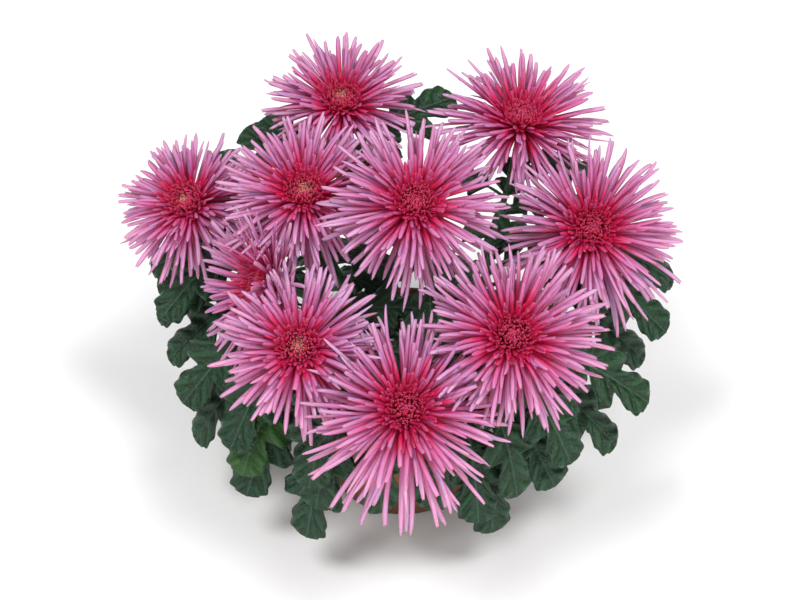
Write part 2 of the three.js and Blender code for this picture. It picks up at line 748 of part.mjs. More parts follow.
// The wanted ray of a field of the core: low bands lie flat and reach far, high ones stand up.
function rayOf(bloom, field, corners, random) {
  const level = field.band * 2 + (field.low ? 0 : 1);
  const axis = axisOf(bloom);
  const [right, up] = sidesOf(axis);
  const step = field.step + RAYS.twist[field.band];
  const turn = (step * 2 * Math.PI) / RAYS.sides + rad(6 * (random() - 0.5));
  const out = add(add([0, 0, 0], right, Math.cos(turn)), up, Math.sin(turn));
  const down = Math.max(-0.3, Math.min(1, -out[2] / 0.6));
  let length = bloom.reach * RAYS.reach[level] * (0.92 + 0.16 * random());
  length *= 1 + bloom.hang * Math.max(0, down);
  const root = corners.reduce((sum, corner) => add(sum, corner, 1 / 3), [0, 0, 0]);
  return {
    turn,
    root,
    length: length - 6,
    lean: RAYS.lean[level] - bloom.cup * (RAYS.lean[level] / 94) ** 2 + 6 * (random() - 0.5),
    curl: RAYS.curl[level] + 6 * down + 8 * (random() - 0.5),
  };
}

function spread(line) {
  const points = [];
  for (let i = 0; i + 1 < line.length; i += 1) {
    const steps = Math.max(1, Math.round(apart(line[i], line[i + 1]) / 2.5));
    for (let k = 0; k < steps; k += 1) {
      points.push(add(line[i], sub(line[i + 1], line[i]), k / steps));
    }
  }
  points.push(line[line.length - 1]);
  return points;
}

// The ray's corners past its field and all its faces: it runs from the field to its broadest place
// two thirds out and on to a short tip. The field's corners are numbered as in "ring", the new ones
// from "first".
function rayFaces(bloom, field, ray, ring, first) {
  const line = rayLine(bloom, ray);
  const side = unit(cross(axisOf(bloom), sub(line[3], line[0])));
  const lift = cross(unit(sub(line[3], line[1])), side);
  const left = add(line[2], side, -RAYS.width / 2);
  const right = add(line[2], side, RAYS.width / 2);
  const ridge = add(line[2], lift, field.low ? RAYS.thickness : -RAYS.thickness);
  const points = [...(field.low ? [left, right, ridge] : [left, ridge, right]), line[3]];
  const triangles = [];
  for (let i = 0; i < 3; i += 1) {
    const j = (i + 1) % 3;
    triangles.push([ring[i], ring[j], first + j], [ring[i], first + j, first + i]);
    triangles.push([first + i, first + j, first + 3]);
  }
  return { points, triangles };
}

// A ray as a body of its own, closed at its field.
function loneRay(bloom, field, ray, places) {
  const { points, triangles } = rayFaces(bloom, field, ray, [0, 1, 2], 3);
  return bodyOf([...places, ...points], [...triangles, [2, 1, 0]]);
}

// The first of a ray's variants that is clear of what isn't its own bloom and of its own bloom's rays.
function clearRay(bloom, field, places, wanted, near, own, bodies) {
  for (const share of [1, 0.9, 0.78, 0.64, 0.5]) {
    for (const lean of [0, -7, 7, -14, -21, 12]) {
      for (const turn of [0, 5, -5]) {
        const ray = {
          ...wanted,
          length: wanted.length * share,
          lean: Math.max(RAYS.steepest, wanted.lean + lean),
          turn: wanted.turn + rad(turn),
        };
        const points = spread(rayLine(bloom, ray)).slice(2);
        const clear = near.every(({ point, radius }) => {
          const keep = radius + RAYS.width / 2 + 0.9;
          return points.every((mine) => apart(mine, point) > keep);
        });
        const outer = points.slice(3);
        const free = clear && own.every((point) => outer.every((mine) => apart(mine, point) > 3.4));
        if (free) {
          const body = loneRay(bloom, field, ray, places);
          if (bodies.every((other) => body.intersect(other).volume() < 1e-5)) {
            return { ...ray, points, body };
          }
        }
      }
    }
  }
  return null;
}

// Rays of all blooms, each turned or shortened until it is clear.
function placeRays(leaves) {
  const taken = [];
  const put = (point, radius, owner) => taken.push({ point, radius, owner });
  STEM_POINTS.forEach((points, cutting) => {
    points.forEach((point) => put(point, 3.4, `cutting ${cutting}`));
  });
  leaves.forEach(({ spread: points }) => points.forEach((point) => put(point, 3.6, 'leaf')));
  BLOOMS.forEach((bloom, index) => {
    [2, -6, -13].forEach((height) => {
      put(add(bloom.centre, axisOf(bloom), height), height < -10 ? 6 : 9.5, `bloom ${index}`);
    });
  });
  const rays = BLOOMS.map(() => []);
  BLOOM_ORDER.forEach((index) => {
    const bloom = BLOOMS[index];
    const cutting = `cutting ${CUTTINGS.findIndex((one) => one.blooms.includes(index))}`;
    const near = taken.filter(({ point, owner }) => {
      const away = apart(point, bloom.centre);
      return owner !== `bloom ${index}` && away < bloom.reach * 1.3 + 10 && (owner !== cutting || away > 15);
    });
    const corners = shellCorners(bloom.centre, axisOf(bloom), CORE_RINGS, RAYS.sides).flat();
    const own = [];
    const bodies = [];
    shellFields(CORE_RINGS.length, RAYS.sides).forEach((field, number) => {
      const places = field.corners.map((corner) => corners[corner]);
      const wanted = rayOf(bloom, field, places, numbers(3000 + index * 97 + number));
      const found = clearRay(bloom, field, places, wanted, near, own, bodies);
      rays[index].push({ field, ray: found });
      if (found) {
        own.push(...found.points.slice(3));
        bodies.push(found.body);
      }
    });
    own.forEach((point) => put(point, RAYS.width / 2, `bloom ${index}`));
  });
  return rays;
}

// The rays of a bloom, each drawn out of its own field of the core.
function raysBody(bloom, rays) {
  const points = shellCorners(bloom.centre, axisOf(bloom), CORE_RINGS, RAYS.sides).flat();
  const triangles = [];
  rays.forEach(({ field, ray }) => {
    if (!ray) {
      triangles.push(field.corners);
      return;
    }
    const faces = rayFaces(bloom, field, ray, field.corners, points.length);
    points.push(...faces.points);
    triangles.push(...faces.triangles);
  });
  closeEnds(triangles, CORE_RINGS.length, RAYS.sides);
  return bodyOf(points, triangles);
}

// Flat faces under the lowest ring and over the highest ring of a shell.
function closeEnds(triangles, rings, count) {
  const top = (rings - 1) * count;
  for (let i = 1; i + 1 < count; i += 1) {
    triangles.push([0, i + 1, i]);
    triangles.push([top, top + i, top + i + 1]);
  }
}

// The disc: a low dome, each of its fields drawn up into a short floret.
function discBody(bloom) {
  const axis = axisOf(bloom);
  const rings = [[GAP + 0.1, 6.1], [2.6, 5.6], [4.3, 3.9], [5, 1.6]];
  const points = shellCorners(bloom.centre, axis, rings, DISC.sides).flat();
  const triangles = [];
  shellFields(rings.length, DISC.sides).forEach(({ band, low, corners }, number) => {
    const random = numbers(900 + number);
    const middle = corners.reduce((sum, corner) => add(sum, points[corner], 1 / 3), [0, 0, 0]);
    const from = sub(middle, bloom.centre);
    const out = unit(add(from, axis, -dot(from, axis)));
    const lean = rad(DISC.lean[band] + 8 * (random() - 0.5));
    const along = add(add([0, 0, 0], out, Math.sin(lean)), axis, Math.cos(lean));
    const length = DISC.floret * (low ? 1 : 0.8) * (0.85 + 0.3 * random());
    points.push(add(middle, along, length));
    const tip = points.length - 1;
    const [a, b, c] = corners;
    triangles.push([a, b, tip], [b, c, tip], [c, a, tip]);
  });
  closeEnds(triangles, rings.length, DISC.sides);
  return bodyOf(points, triangles);
}

// ---- Assembly ----

const COLOURS = {
  pot: { color: 0x9a5a3c, roughness: 0.75 },
  soil: { color: 0x2b1e16, roughness: 0.95 },
  leaf: { color: 0x3c5a46, roughness: 0.6 },
  ray: { color: 0xc1609a, roughness: 0.55 },
  disc: { color: 0x9c2745, roughness: 0.6 },
};

function part(name, body, look) {
  const geometry = geometryOf(body);
  geometry.computeVertexNormals();
  const material = new THREE.MeshStandardMaterial({ ...COLOURS[look], metalness: 0 });
  const made = new THREE.Mesh(geometry, material);
  made.name = name;
  return made;
}

const plant = new THREE.Group();
plant.name = 'pot_chrysanthemum';
plant.add(part('pot', potBody(), 'pot'));
plant.add(part('soil', soilBody(), 'soil'));
const leaves = placeLeaves();
CUTTINGS.forEach((_, index) => {
  const own = leaves.filter(({ leaf }) => leaf.cutting === index);
  plant.add(part(`cutting_${index + 1}`, cuttingBody(index, own), 'leaf'));
});
const rays = placeRays(leaves);
BLOOMS.forEach((bloom, index) => {
  const number = String(index + 1).padStart(2, '0');
  plant.add(part(`bloom_${number}_rays`, raysBody(bloom, rays[index]), 'ray'));
  plant.add(part(`bloom_${number}_disc`, discBody(bloom), 'disc'));
});

export default plant;
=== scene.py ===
"""Pot chrysanthemum with spidery pink blooms: the looks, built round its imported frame.

Lengths are millimetres and angles degrees, unless a name says otherwise. Meshes are made in
millimetres and turned into Blender's metres when they are put into an object.
The blooms' places, the stems' curves and the leaves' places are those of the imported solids.
"""

import dataclasses
import functools
import itertools
import math

import bpy
import numpy as np
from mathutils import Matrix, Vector


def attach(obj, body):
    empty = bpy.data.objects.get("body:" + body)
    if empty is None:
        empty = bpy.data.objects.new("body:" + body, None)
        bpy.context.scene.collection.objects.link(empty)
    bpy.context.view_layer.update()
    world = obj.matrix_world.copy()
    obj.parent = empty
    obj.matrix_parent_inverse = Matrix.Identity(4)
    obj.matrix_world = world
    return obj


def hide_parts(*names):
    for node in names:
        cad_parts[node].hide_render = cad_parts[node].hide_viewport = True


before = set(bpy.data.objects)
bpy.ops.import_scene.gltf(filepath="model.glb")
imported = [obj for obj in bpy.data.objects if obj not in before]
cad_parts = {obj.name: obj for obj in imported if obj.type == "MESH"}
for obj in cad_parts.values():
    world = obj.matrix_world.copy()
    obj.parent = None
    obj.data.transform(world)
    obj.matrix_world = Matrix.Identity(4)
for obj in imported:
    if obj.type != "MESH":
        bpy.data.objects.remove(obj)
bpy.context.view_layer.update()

bl_info = {
    "name": "Pot chrysanthemum",
    "version": (1, 0, 0),
    "blender": (4, 5, 0),
    "location": "View3D > Sidebar > Chrysanthemum",
    "description": "Builds the pot, the leafy cuttings and the spidery blooms of a pot chrysanthemum",
    "category": "Add Mesh",
}

MM = 0.001

# ---- Driving dimensions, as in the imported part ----

GAP = 0.35
POT = {
    "height": 98, "base": 46, "shoulder_height": 84, "shoulder": 64, "band": 66.5, "rim": 68,
    "wall": 2.6, "floor": 2.8, "drain_holes": 4, "drain_radius": 4, "drain_circle": 26,
}
POT_SLOPE = (POT["shoulder"] - POT["base"]) / POT["shoulder_height"]
SOIL_TOP = 87
# The distance from the pot's axis that the crumbs on the mix keep to.
CRUMB_CIRCLE = 58
STEM = {
    "circle": 36, "depth": 20, "radius": 3.1, "fork_height": 138, "branch_radius": 2.1,
    "main_runs": 4, "branch_runs": 6,
}

# Blooms: middle of the core's top, tilt from upright, way of the tilt (0 is +X, 90 is +Y), reach of
# the outer rays, by how much of it the rays on the low side hang further, how far the bloom is
# cupped, and how far its middle has opened into golden florets.
BLOOM_KEYS = ("centre", "tilt", "towards", "reach", "hang", "cup", "gold")
BLOOMS = [dict(zip(BLOOM_KEYS, (np.array(centre, float), *rest))) for centre, *rest in (
    ((-39, 108, 218), 22, 265, 50, -0.15, 0, 0.6),
    ((75, 97, 211), 12, 285, 58, -0.12, 0, 0),
    ((-135, 49, 182), 36, 242, 47, 0.1, 0, 0.52),
    ((-59, 3, 224), 30, 275, 51, 0.1, 0, 0.6),
    ((7, -23, 236), 34, 275, 54, 0.08, 0, 0),
    ((115, 17, 186), 40, 274, 57, 0.1, 0, 0),
    ((-81, -33, 181), 66, 208, 54, 0, 30, 0.52),
    ((-60, -89, 182), 38, 268, 50, 0, 0, 0.6),
    ((62, -90, 192), 38, 275, 56, 0, 0, 0),
    ((1, -119, 162), 38, 278, 58, 0.16, 0, 0),
)]
# Cuttings: way of the stem's foot from the pot's axis, and the two blooms it carries.
CUTTINGS = [{"way": way, "blooms": blooms} for way, blooms in (
    (130, (0, 2)), (32, (1, 5)), (190, (3, 6)), (250, (7, 9)), (312, (8, 4)),
)]
# Order in which blooms take their room; the later ones turn their rays clear.
BLOOM_ORDER = (4, 9, 8, 3, 7, 5, 1, 0, 2, 6)
CORE_HEIGHT = 5.4
# Reach (share of the bloom's), lean from the axis and curl, from the lowest rays to the highest.
# The last level is that of the short rays round the disc, which only the looks have.
RAY_REACH = (1, 0.97, 0.93, 0.84, 0.68, 0.46, 0.25)
RAY_LEAN = (94, 86, 76, 65, 54, 45, 30)
RAY_CURL = (13, 12, 9, 5, 2, -4, -22)
# Height of a ray's root over the core's top and its distance from the axis, by the same levels.
RAY_ROOT_HEIGHT = (-4.7, -4.0, -3.2, -2.3, -1.4, -0.7, 0.4)
RAY_ROOT_RADIUS = (7.0, 7.6, 7.7, 7.2, 6.6, 6.3, 5.6)
# The least lean of a ray from the axis, and the room that rays keep to other pieces.
LEAST_LEAN = 30
RAY_ROOM = 2.1
# Waves round a bloom that gather its rays in clumps, and how strongly.
CLUMP_WAVES = (5, 8, 13)
CLUMPING = 0.18
GOLDEN_ANGLE = 137.508

# The longest blade, and as shares of a blade's length its half width and its lobes' slant forwards.
LEAF_BLADE = 66
LEAF_HALF_WIDTH = 0.34
LEAF_SLANT = 0.13
# Steps of a leaf's middle line, for finding its place and for its mesh.
ARC_STEPS = 24
FINE_ARC_STEPS = 96
# Room that a leaf keeps to the ground, the pot's top, its side, the stems of other cuttings, the
# blades of its own cutting and the leaves of others.
LEAF_ROOM = {"ground": 6, "top": 4, "side": 5, "stems": 7, "same": 4.2, "others": 6.4}
# Distance along a leaf between the points that keep it clear.
SPREAD_STEP = 5.5
# Room kept for a bloom: its width over the reach, how far it goes under and over the bloom's
# middle, how its underside droops with the distance from the axis, and the cup that takes 1 off it.
BLOOM_ROOM = {"wider": 1.06, "past": 2, "under": 8, "over": 45, "droop": 0.27, "cup": 60}
# How far the leaves at the sides turn their faces to the front.
LEAF_FACING = 26
# Leaves of the plant's outline, lying over each other like shingles: cutting, branch, number of
# leaves, then for the lowest and for the highest one its place on the stem (0 to 1 is the main
# stem, 1 to 2 the branch), its tip, and how far it bends down from root to tip.
SHINGLES = [
    (4, 0, 3, (0.4, (50, -96, 34), 95), (0.95, (62, -104, 72), 80)),
    (4, 0, 3, (0.5, (90, -72, 42), 80), (1.15, (104, -80, 84), 66)),
    (4, 0, 4, (0.7, (126, -40, 54), 65), (1.3, (150, -40, 104), 52)),
    (1, 1, 3, (0.85, (152, -4, 72), 58), (1.45, (164, 0, 110), 46)),
    (1, 1, 3, (1.2, (158, 30, 108), 52), (1.65, (166, 4, 134), 44)),
    (3, 0, 4, (0.4, (-66, -92, 34), 92), (1.1, (-52, -106, 82), 74)),
    (2, 1, 3, (0.5, (-104, -64, 42), 76), (1.1, (-112, -66, 84), 62)),
    (2, 1, 4, (0.75, (-134, -24, 54), 66), (1.35, (-142, -30, 108), 48)),
    (0, 1, 3, (0.95, (-150, 10, 80), 58), (1.5, (-158, 20, 118), 46)),
    (0, 1, 3, (1.1, (-162, 50, 104), 54), (1.6, (-166, 52, 138), 44)),
    (3, 1, 2, (0.6, (-30, -94, 54), 95), (0.8, (-2, -98, 55), 94)),
    (4, 0, 2, (0.45, (22, -106, 50), 100), (0.75, (28, -112, 72), 92)),
]
# Leaves set in the gaps between the blooms: cutting, branch, place on the stem, tip, bend.
GAP_LEAVES = [
    (0, 1, 1.45, (-122, 116, 172), 45),
    (0, 1, 1.3, (-118, 84, 170), 45),
    (0, 0, 1.35, (-92, 134, 187), 40),
    (0, 0, 1.2, (-114, 134, 174), 45),
    (0, 0, 1.6, (34, 146, 196), 45),
    (0, 0, 1.4, (-4, 126, 170), 45),
    (1, 0, 1.5, (14, 106, 166), 40),
    (1, 1, 1.5, (38, 62, 150), 35),
    (1, 1, 1.7, (46, 44, 136), 35),
    (1, 1, 1.3, (142, -6, 126), 45),
    (1, 0, 1.4, (84, 116, 180), 35),
    (1, 0, 1.3, (98, 84, 150), 40),
    (1, 1, 1.6, (112, 84, 162), 36),
    (4, 1, 1.2, (34, 36, 150), 40),
    (0, 0, 1.2, (27, 46, 156), 40),
    (0, 0, 1.05, (6, 24, 150), 40),
    (0, 0, 1.3, (-60, 40, 168), 40),
    (2, 1, 1.3, (-136, 4, 112), 50),
    (2, 0, 1.2, (-104, 8, 138), 50),
    (2, 0, 0.95, (18, 0, 142), 40),
    (0, 0, 0.8, (4, 8, 126), 45),
    (1, 0, 0.75, (14, -16, 128), 45),
    (2, 0, 0.8, (0, -18, 118), 40),
    (3, 1, 1.15, (-40, -48, 140), 45),
    (4, 1, 0.95, (14, -56, 130), 45),
    (1, 0, 0.9, (56, -30, 128), 45),
    (0, 0, 0.6, (-22, 110, 62), 100),
    (1, 0, 0.6, (44, 106, 60), 100),
    (0, 0, 0.9, (-71, 102, 88), 50),
    (4, 1, 1.7, (1, 0, 160), 70),
]
# Filling leaves that each cutting may have.
FILL_LEAVES = 7
# The shingles that are still young and yellow-green, by number.
YOUNG_LEAVES = (21,)


# ---- Small maths ----

def rad(degrees):
    return np.radians(degrees)


def mix(a, b, share):
    return a + (b - a) * share


def unit(v):
    return v / np.linalg.norm(v, axis=-1, keepdims=True)


def polar(radius, way, z):
    """A point at a radius and a way round the pot's axis."""
    return np.array([radius * math.cos(rad(way)), radius * math.sin(rad(way)), z])


def sides_of(along):
    """Two directions square to a given one."""
    start = (0, 0, 1) if abs(along[2]) < 0.9 else (1, 0, 0)
    first = unit(np.cross(start, along))
    return first, np.cross(along, first)


def circle(steps):
    """Angles spread evenly over a whole turn."""
    return np.arange(steps) * 2 * math.pi / steps


def around(axis, way):
    """Directions square to an axis, at ways round it."""
    right, up = sides_of(axis)
    way = np.asarray(way)[..., None]
    return right * np.cos(way) + up * np.sin(way)


def numbers(seed):
    """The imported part's seeded source of numbers from 0 to 1: a 32-bit hash of a counter."""
    low_32 = 0xFFFFFFFF
    state = seed
    while True:
        state = (state + 0x6D2B79F5) & low_32
        t = ((state ^ (state >> 15)) * (state | 1)) & low_32
        t = ((t + (((t ^ (t >> 7)) * (t | 61)) & low_32)) & low_32) ^ t
        yield ((t ^ (t >> 14)) & low_32) / 4294967296


def linear(colour):
    """A colour written as a hex number, as Blender's linear red, green and blue."""
    parts = [((colour >> shift) & 255) / 255 for shift in (16, 8, 0)]
    return tuple(c / 12.92 if c <= 0.04045 else ((c + 0.055) / 1.055) ** 2.4 for c in parts)


# ---- Stems' curves ----

def axis_of(bloom):
    tilt = rad(bloom["tilt"])
    way = rad(bloom["towards"])
    return np.array([
        math.sin(tilt) * math.cos(way), math.sin(tilt) * math.sin(way), math.cos(tilt),
    ])


def on_curve(curve, t):
    """Points of a four-point (cubic Bezier) curve."""
    t = np.asarray(t, float)[..., None]
    k = 1 - t
    return k**3 * curve[0] + 3 * k * k * t * curve[1] + 3 * k * t * t * curve[2] + t**3 * curve[3]


def on_runs(curve, t, runs):
    """Points of a curve that is drawn with straight runs."""
    ends = on_curve(curve, np.arange(runs + 1) / runs)
    place = np.asarray(t, float) * runs
    return np.stack([np.interp(place, np.arange(runs + 1), ends[:, k]) for k in range(3)], -1)


@functools.lru_cache(maxsize=None)
def stem_curves(cutting):
    """The main stem's curve and the curves of the two branches."""
    way = CUTTINGS[cutting]["way"]
    foot = polar(STEM["circle"], way, SOIL_TOP)
    centres = [BLOOMS[i]["centre"] for i in CUTTINGS[cutting]["blooms"]]
    fork = mix(foot, (centres[0] + centres[1]) / 2, 0.35)
    fork[2] = STEM["fork_height"]
    under_fork = mix(foot, fork, 0.7)
    under_fork[2] = STEM["fork_height"] - 16
    main = np.array([foot + (0, 0, 4), foot + (0, 0, 20), under_fork, fork])
    branches = []
    for number, centre in zip(CUTTINGS[cutting]["blooms"], centres):
        axis = axis_of(BLOOMS[number])
        end = centre - axis * (CORE_HEIGHT + GAP + 1)
        away = centre - fork
        far = np.linalg.norm(away)
        start = fork + np.array([away[0] * 0.22, away[1] * 0.22, 0.24 * far])
        branches.append(np.array([fork, start, end - axis * 0.34 * far, end]))
    return main, branches


def stem_point(cutting, place, branch):
    """A place on a cutting: 0 to 1 along the main stem, 1 to 2 along a branch."""
    main, branches = stem_curves(cutting)
    if place <= 1:
        return on_runs(main, place, STEM["main_runs"])
    return on_runs(branches[branch], place - 1, STEM["branch_runs"])


@functools.lru_cache(maxsize=None)
def stem_points(cutting):
    """Points spread over a cutting's stems, for keeping others clear."""
    main, branches = stem_curves(cutting)
    spread = [on_runs(main, np.arange(11) / 10, STEM["main_runs"])]
    for branch in branches:
        spread.append(on_runs(branch, np.arange(1, 21) / 20, STEM["branch_runs"]))
    return np.concatenate(spread)


# ---- Leaves' places ----

# Half width of the room of a blade, as a share of the blade's half width, along its length.
ROOM_ACROSS = ((-0.02, 0.18, 0.5, 0.83, 1), (0, 0.76, 1, 0.74, 0.3))


@dataclasses.dataclass
class Leaf:
    """One leaf: where and how it leaves its stem, how long it is and how far it bends down.

    The blade is the part of its length past "stalk", "roll" turns it about its length, and "fold"
    is how steeply its halves stand up from the midrib.
    """

    cutting: int
    root: np.ndarray
    way: float
    pitch: float
    bend: float
    length: float
    stalk: float
    roll: float
    fold: float
    young: float = 0.0

    def blade_length(self):
        return self.length * (1 - self.stalk)

    def half_width(self):
        return self.blade_length() * LEAF_HALF_WIDTH

    def middle(self, share, steps):
        """Points of the middle line at shares of the length, with the directions to its side and up.

        The line starts at the pitch and has turned down by bend * share * (2 - share).
        """
        arc = arc_of(self.bend, steps)
        place = np.asarray(share, float) * steps
        flat = [np.interp(place, np.arange(steps + 1), arc[:, k])[..., None] for k in (0, 1)]
        run = self.length * (flat[0] * math.cos(self.pitch) - flat[1] * math.sin(self.pitch))
        rise = self.length * (flat[0] * math.sin(self.pitch) + flat[1] * math.cos(self.pitch))
        now = (self.pitch - self.bend * share * (2 - share))[..., None]
        ahead = np.array([math.cos(self.way), math.sin(self.way), 0])
        level = np.array([-math.sin(self.way), math.cos(self.way), 0])
        straight_up = np.array([0, 0, 1])
        point = self.root + ahead * run + straight_up * rise
        upright = -np.sin(now) * ahead + np.cos(now) * straight_up
        roll = (self.roll * np.minimum(1, share * 3))[..., None]
        side = level * np.cos(roll) + upright * np.sin(roll)
        return point, side, upright * np.cos(roll) - level * np.sin(roll)

    def points(self, share, across, lift=0.0, steps=ARC_STEPS):
        """Points of the blade: shares of the length and of the half width, lifted off its plane."""
        point, side, up = self.middle(share, steps)
        width = (across * self.half_width())[..., None]
        lift = np.broadcast_to(lift, np.shape(across))[..., None]
        return point + side * width + up * (self.fold * np.abs(width) + lift)

    def spread_steps(self):
        return math.floor(self.length / SPREAD_STEP + 0.5)

    def blade_of(self, spread):
        """The spread points without those of the stalk."""
        return spread[math.floor(self.stalk * self.spread_steps()):]

    def spread(self):
        """Points spread over the leaf, for keeping it clear of others."""
        shares, acrosses = [], []
        steps = self.spread_steps()
        for i in range(1, steps + 1):
            share = i / steps
            blade = (share - self.stalk) / (1 - self.stalk)
            width = 0 if blade < -0.02 else np.interp(blade, *ROOM_ACROSS)
            across = (-1, -0.66, -0.33, 0, 0.33, 0.66, 1) if width > 0.5 else (-0.7, 0, 0.7)
            across = (0,) if width == 0 else across
            shares += [share] * len(across)
            acrosses += [k * width for k in across]
        return self.points(np.array(shares), np.array(acrosses))


@functools.lru_cache(maxsize=None)
def arc_of(bend, steps):
    """The middle line of a leaf one long that starts level, as run and rise."""
    share = (np.arange(steps) + 0.5) / steps
    pitch = -bend * share * (2 - share)
    runs = np.stack([np.cos(pitch), np.sin(pitch)], 1) / steps
    return np.vstack([(0, 0), np.cumsum(runs, 0)])


def pot_outer(z):
    wall = POT["base"] + POT_SLOPE * np.maximum(0, z)
    return np.where(z < POT["shoulder_height"] - 3, wall, POT["rim"])


def under_bloom(points, bloom):
    """True for each point in the round slab of room that is kept for a bloom."""
    away = points - bloom["centre"]
    height = away @ axis_of(bloom)
    out = np.sqrt(np.maximum(0, (away * away).sum(1) - height**2))
    room = BLOOM_ROOM
    droop = room["droop"] - bloom["cup"] / room["cup"]
    inside = out < bloom["reach"] * room["wider"] + room["past"]
    return inside & (height > -room["under"] - droop * out) & (height < room["over"])


def far_from(points, others, room):
    """True if every point is further than "room" from every other point."""
    low, high = points.min(0) - room, points.max(0) + room
    near = others[np.all((others >= low) & (others <= high), axis=1)]
    gaps = np.linalg.norm(points[:, None] - near[None], axis=-1)
    return len(near) == 0 or gaps.min() > room


def leaf_is_clear(leaf, spread, same, others):
    """True if a leaf is clear of the ground, the pot, the blooms, the stems and the other leaves."""
    out = np.hypot(spread[:, 0], spread[:, 1])
    z = spread[:, 2]
    if np.any(z < LEAF_ROOM["ground"]):
        return False
    if np.any((z < POT["height"] + LEAF_ROOM["top"]) & (out < pot_outer(z) + LEAF_ROOM["side"])):
        return False
    if any(np.any(under_bloom(spread, bloom)) for bloom in BLOOMS):
        return False
    stems = np.concatenate([stem_points(i) for i in range(len(CUTTINGS)) if i != leaf.cutting])
    return (far_from(spread, stems, LEAF_ROOM["stems"])
            and far_from(leaf.blade_of(spread), same, LEAF_ROOM["same"])
            and far_from(spread, others, LEAF_ROOM["others"]))


def leaf_to(cutting, place, branch, tip, bend_degrees):
    """A leaf from its root to a wanted tip, hanging in an arc."""
    root = stem_point(cutting, place, branch)
    out = math.hypot(tip[0] - root[0], tip[1] - root[1])
    bend = rad(bend_degrees)
    run, rise = arc_of(bend, ARC_STEPS)[-1]
    length = math.hypot(out, tip[2] - root[2]) / math.hypot(run, rise)
    way = math.atan2(tip[1] - root[1], tip[0] - root[0])
    pitch = math.atan2(tip[2] - root[2], out) - math.atan2(rise, run)
    stalk = max(0.2, 1 - LEAF_BLADE / length)
    return Leaf(cutting, root, way, pitch, bend, length, stalk, rad(LEAF_FACING) * math.cos(way), 0.1)


def fill_leaf(cutting, number, random):
    """A filling leaf by number: they climb the stem and turn round it, mostly facing outwards."""
    climb = number / (FILL_LEAVES - 1)
    turn = ((number * 137.5 + cutting * 40) % 360) - 180
    way = CUTTINGS[cutting]["way"] + turn * mix(0.6, 1, climb)
    root = stem_point(cutting, mix(0.4, 1.72, climb), number % 2)
    pitch = rad(mix(16, 26, climb) + 12 * (next(random) - 0.5))
    length = mix(86, 56, climb) * (0.9 + 0.2 * next(random))
    roll = rad(30 * (next(random) - 0.5) + 0.6 * LEAF_FACING * math.cos(rad(way)))
    fold = 0.16 - 0.2 * next(random)
    bend = rad(mix(88, 46, climb))
    return Leaf(cutting, root, rad(way), pitch, bend, length, mix(0.3, 0.2, climb), roll, fold)


def set_leaf_variants(cutting, branch, place, tip, bend, sway, tilt):
    """A leaf with a set tip as wanted, and then bent, turned, shifted and shortened step by step."""
    changes = itertools.product((1, 0.9), (0, 0.1, -0.1), (0, 7, -7, 14, -14), (1, 1.25, 0.8))
    for reach, shift, turn, more in changes:
        start = max(0.35, place + shift)
        root = stem_point(cutting, start, branch)
        end = root + (np.array(tip) - root) * reach
        leaf = leaf_to(cutting, start, branch, end, bend * more)
        yield dataclasses.replace(leaf, way=leaf.way + rad(sway + turn), roll=leaf.roll + rad(tilt))


def shingles():
    """The leaves of the plant's outline: the stacks' rows with their leaves swaying by turns."""
    for row, (cutting, branch, count, low, high) in enumerate(SHINGLES):
        random = numbers(700 + row)
        for i in range(count):
            share = i / (count - 1)
            place, tip, bend = (mix(np.array(a), np.array(b), share) for a, b in zip(low, high))
            sway = (8 if i % 2 == 0 else -8) + 8 * (next(random) - 0.5)
            yield cutting, branch, place, tip, bend, sway, 32 * (next(random) - 0.5)


def fill_leaf_variants(cutting, number):
    """A filling leaf as wanted, and then pitched and turned step by step, and the same once smaller."""
    wanted = fill_leaf(cutting, number, numbers(100 + number * 17 + cutting * 5))
    turns = (0, 9, -9, 18, -18, 28, -28, 40, -40)
    for size, turn, pitch in itertools.product((1, 0.84), turns, (0, -9, 9, -20, 18, -32)):
        yield dataclasses.replace(
            wanted, way=wanted.way + rad(turn), pitch=wanted.pitch + rad(pitch),
            length=wanted.length * size)


@functools.lru_cache(maxsize=None)
def placed_leaves():
    """All leaves, each in the first of its variants that is clear."""
    placed, spreads = [], []

    def try_leaf(variants, young=0.0):
        for leaf in variants:
            spread = leaf.spread()
            same, others = [np.zeros((0, 3))], [np.zeros((0, 3))]
            for other, points in zip(placed, spreads):
                if other.cutting == leaf.cutting:
                    same.append(other.blade_of(points))
                else:
                    others.append(points)
            if leaf_is_clear(leaf, spread, np.concatenate(same), np.concatenate(others)):
                placed.append(dataclasses.replace(leaf, young=young))
                spreads.append(spread)
                return

    for number, wanted in enumerate(shingles()):
        try_leaf(set_leaf_variants(*wanted), float(number in YOUNG_LEAVES))
    for wanted in GAP_LEAVES:
        try_leaf(set_leaf_variants(*wanted, 0, 0))
    for number, cutting in itertools.product(range(FILL_LEAVES), range(len(CUTTINGS))):
        try_leaf(fill_leaf_variants(cutting, number))
    return placed


# ---- Meshes from whole arrays ----

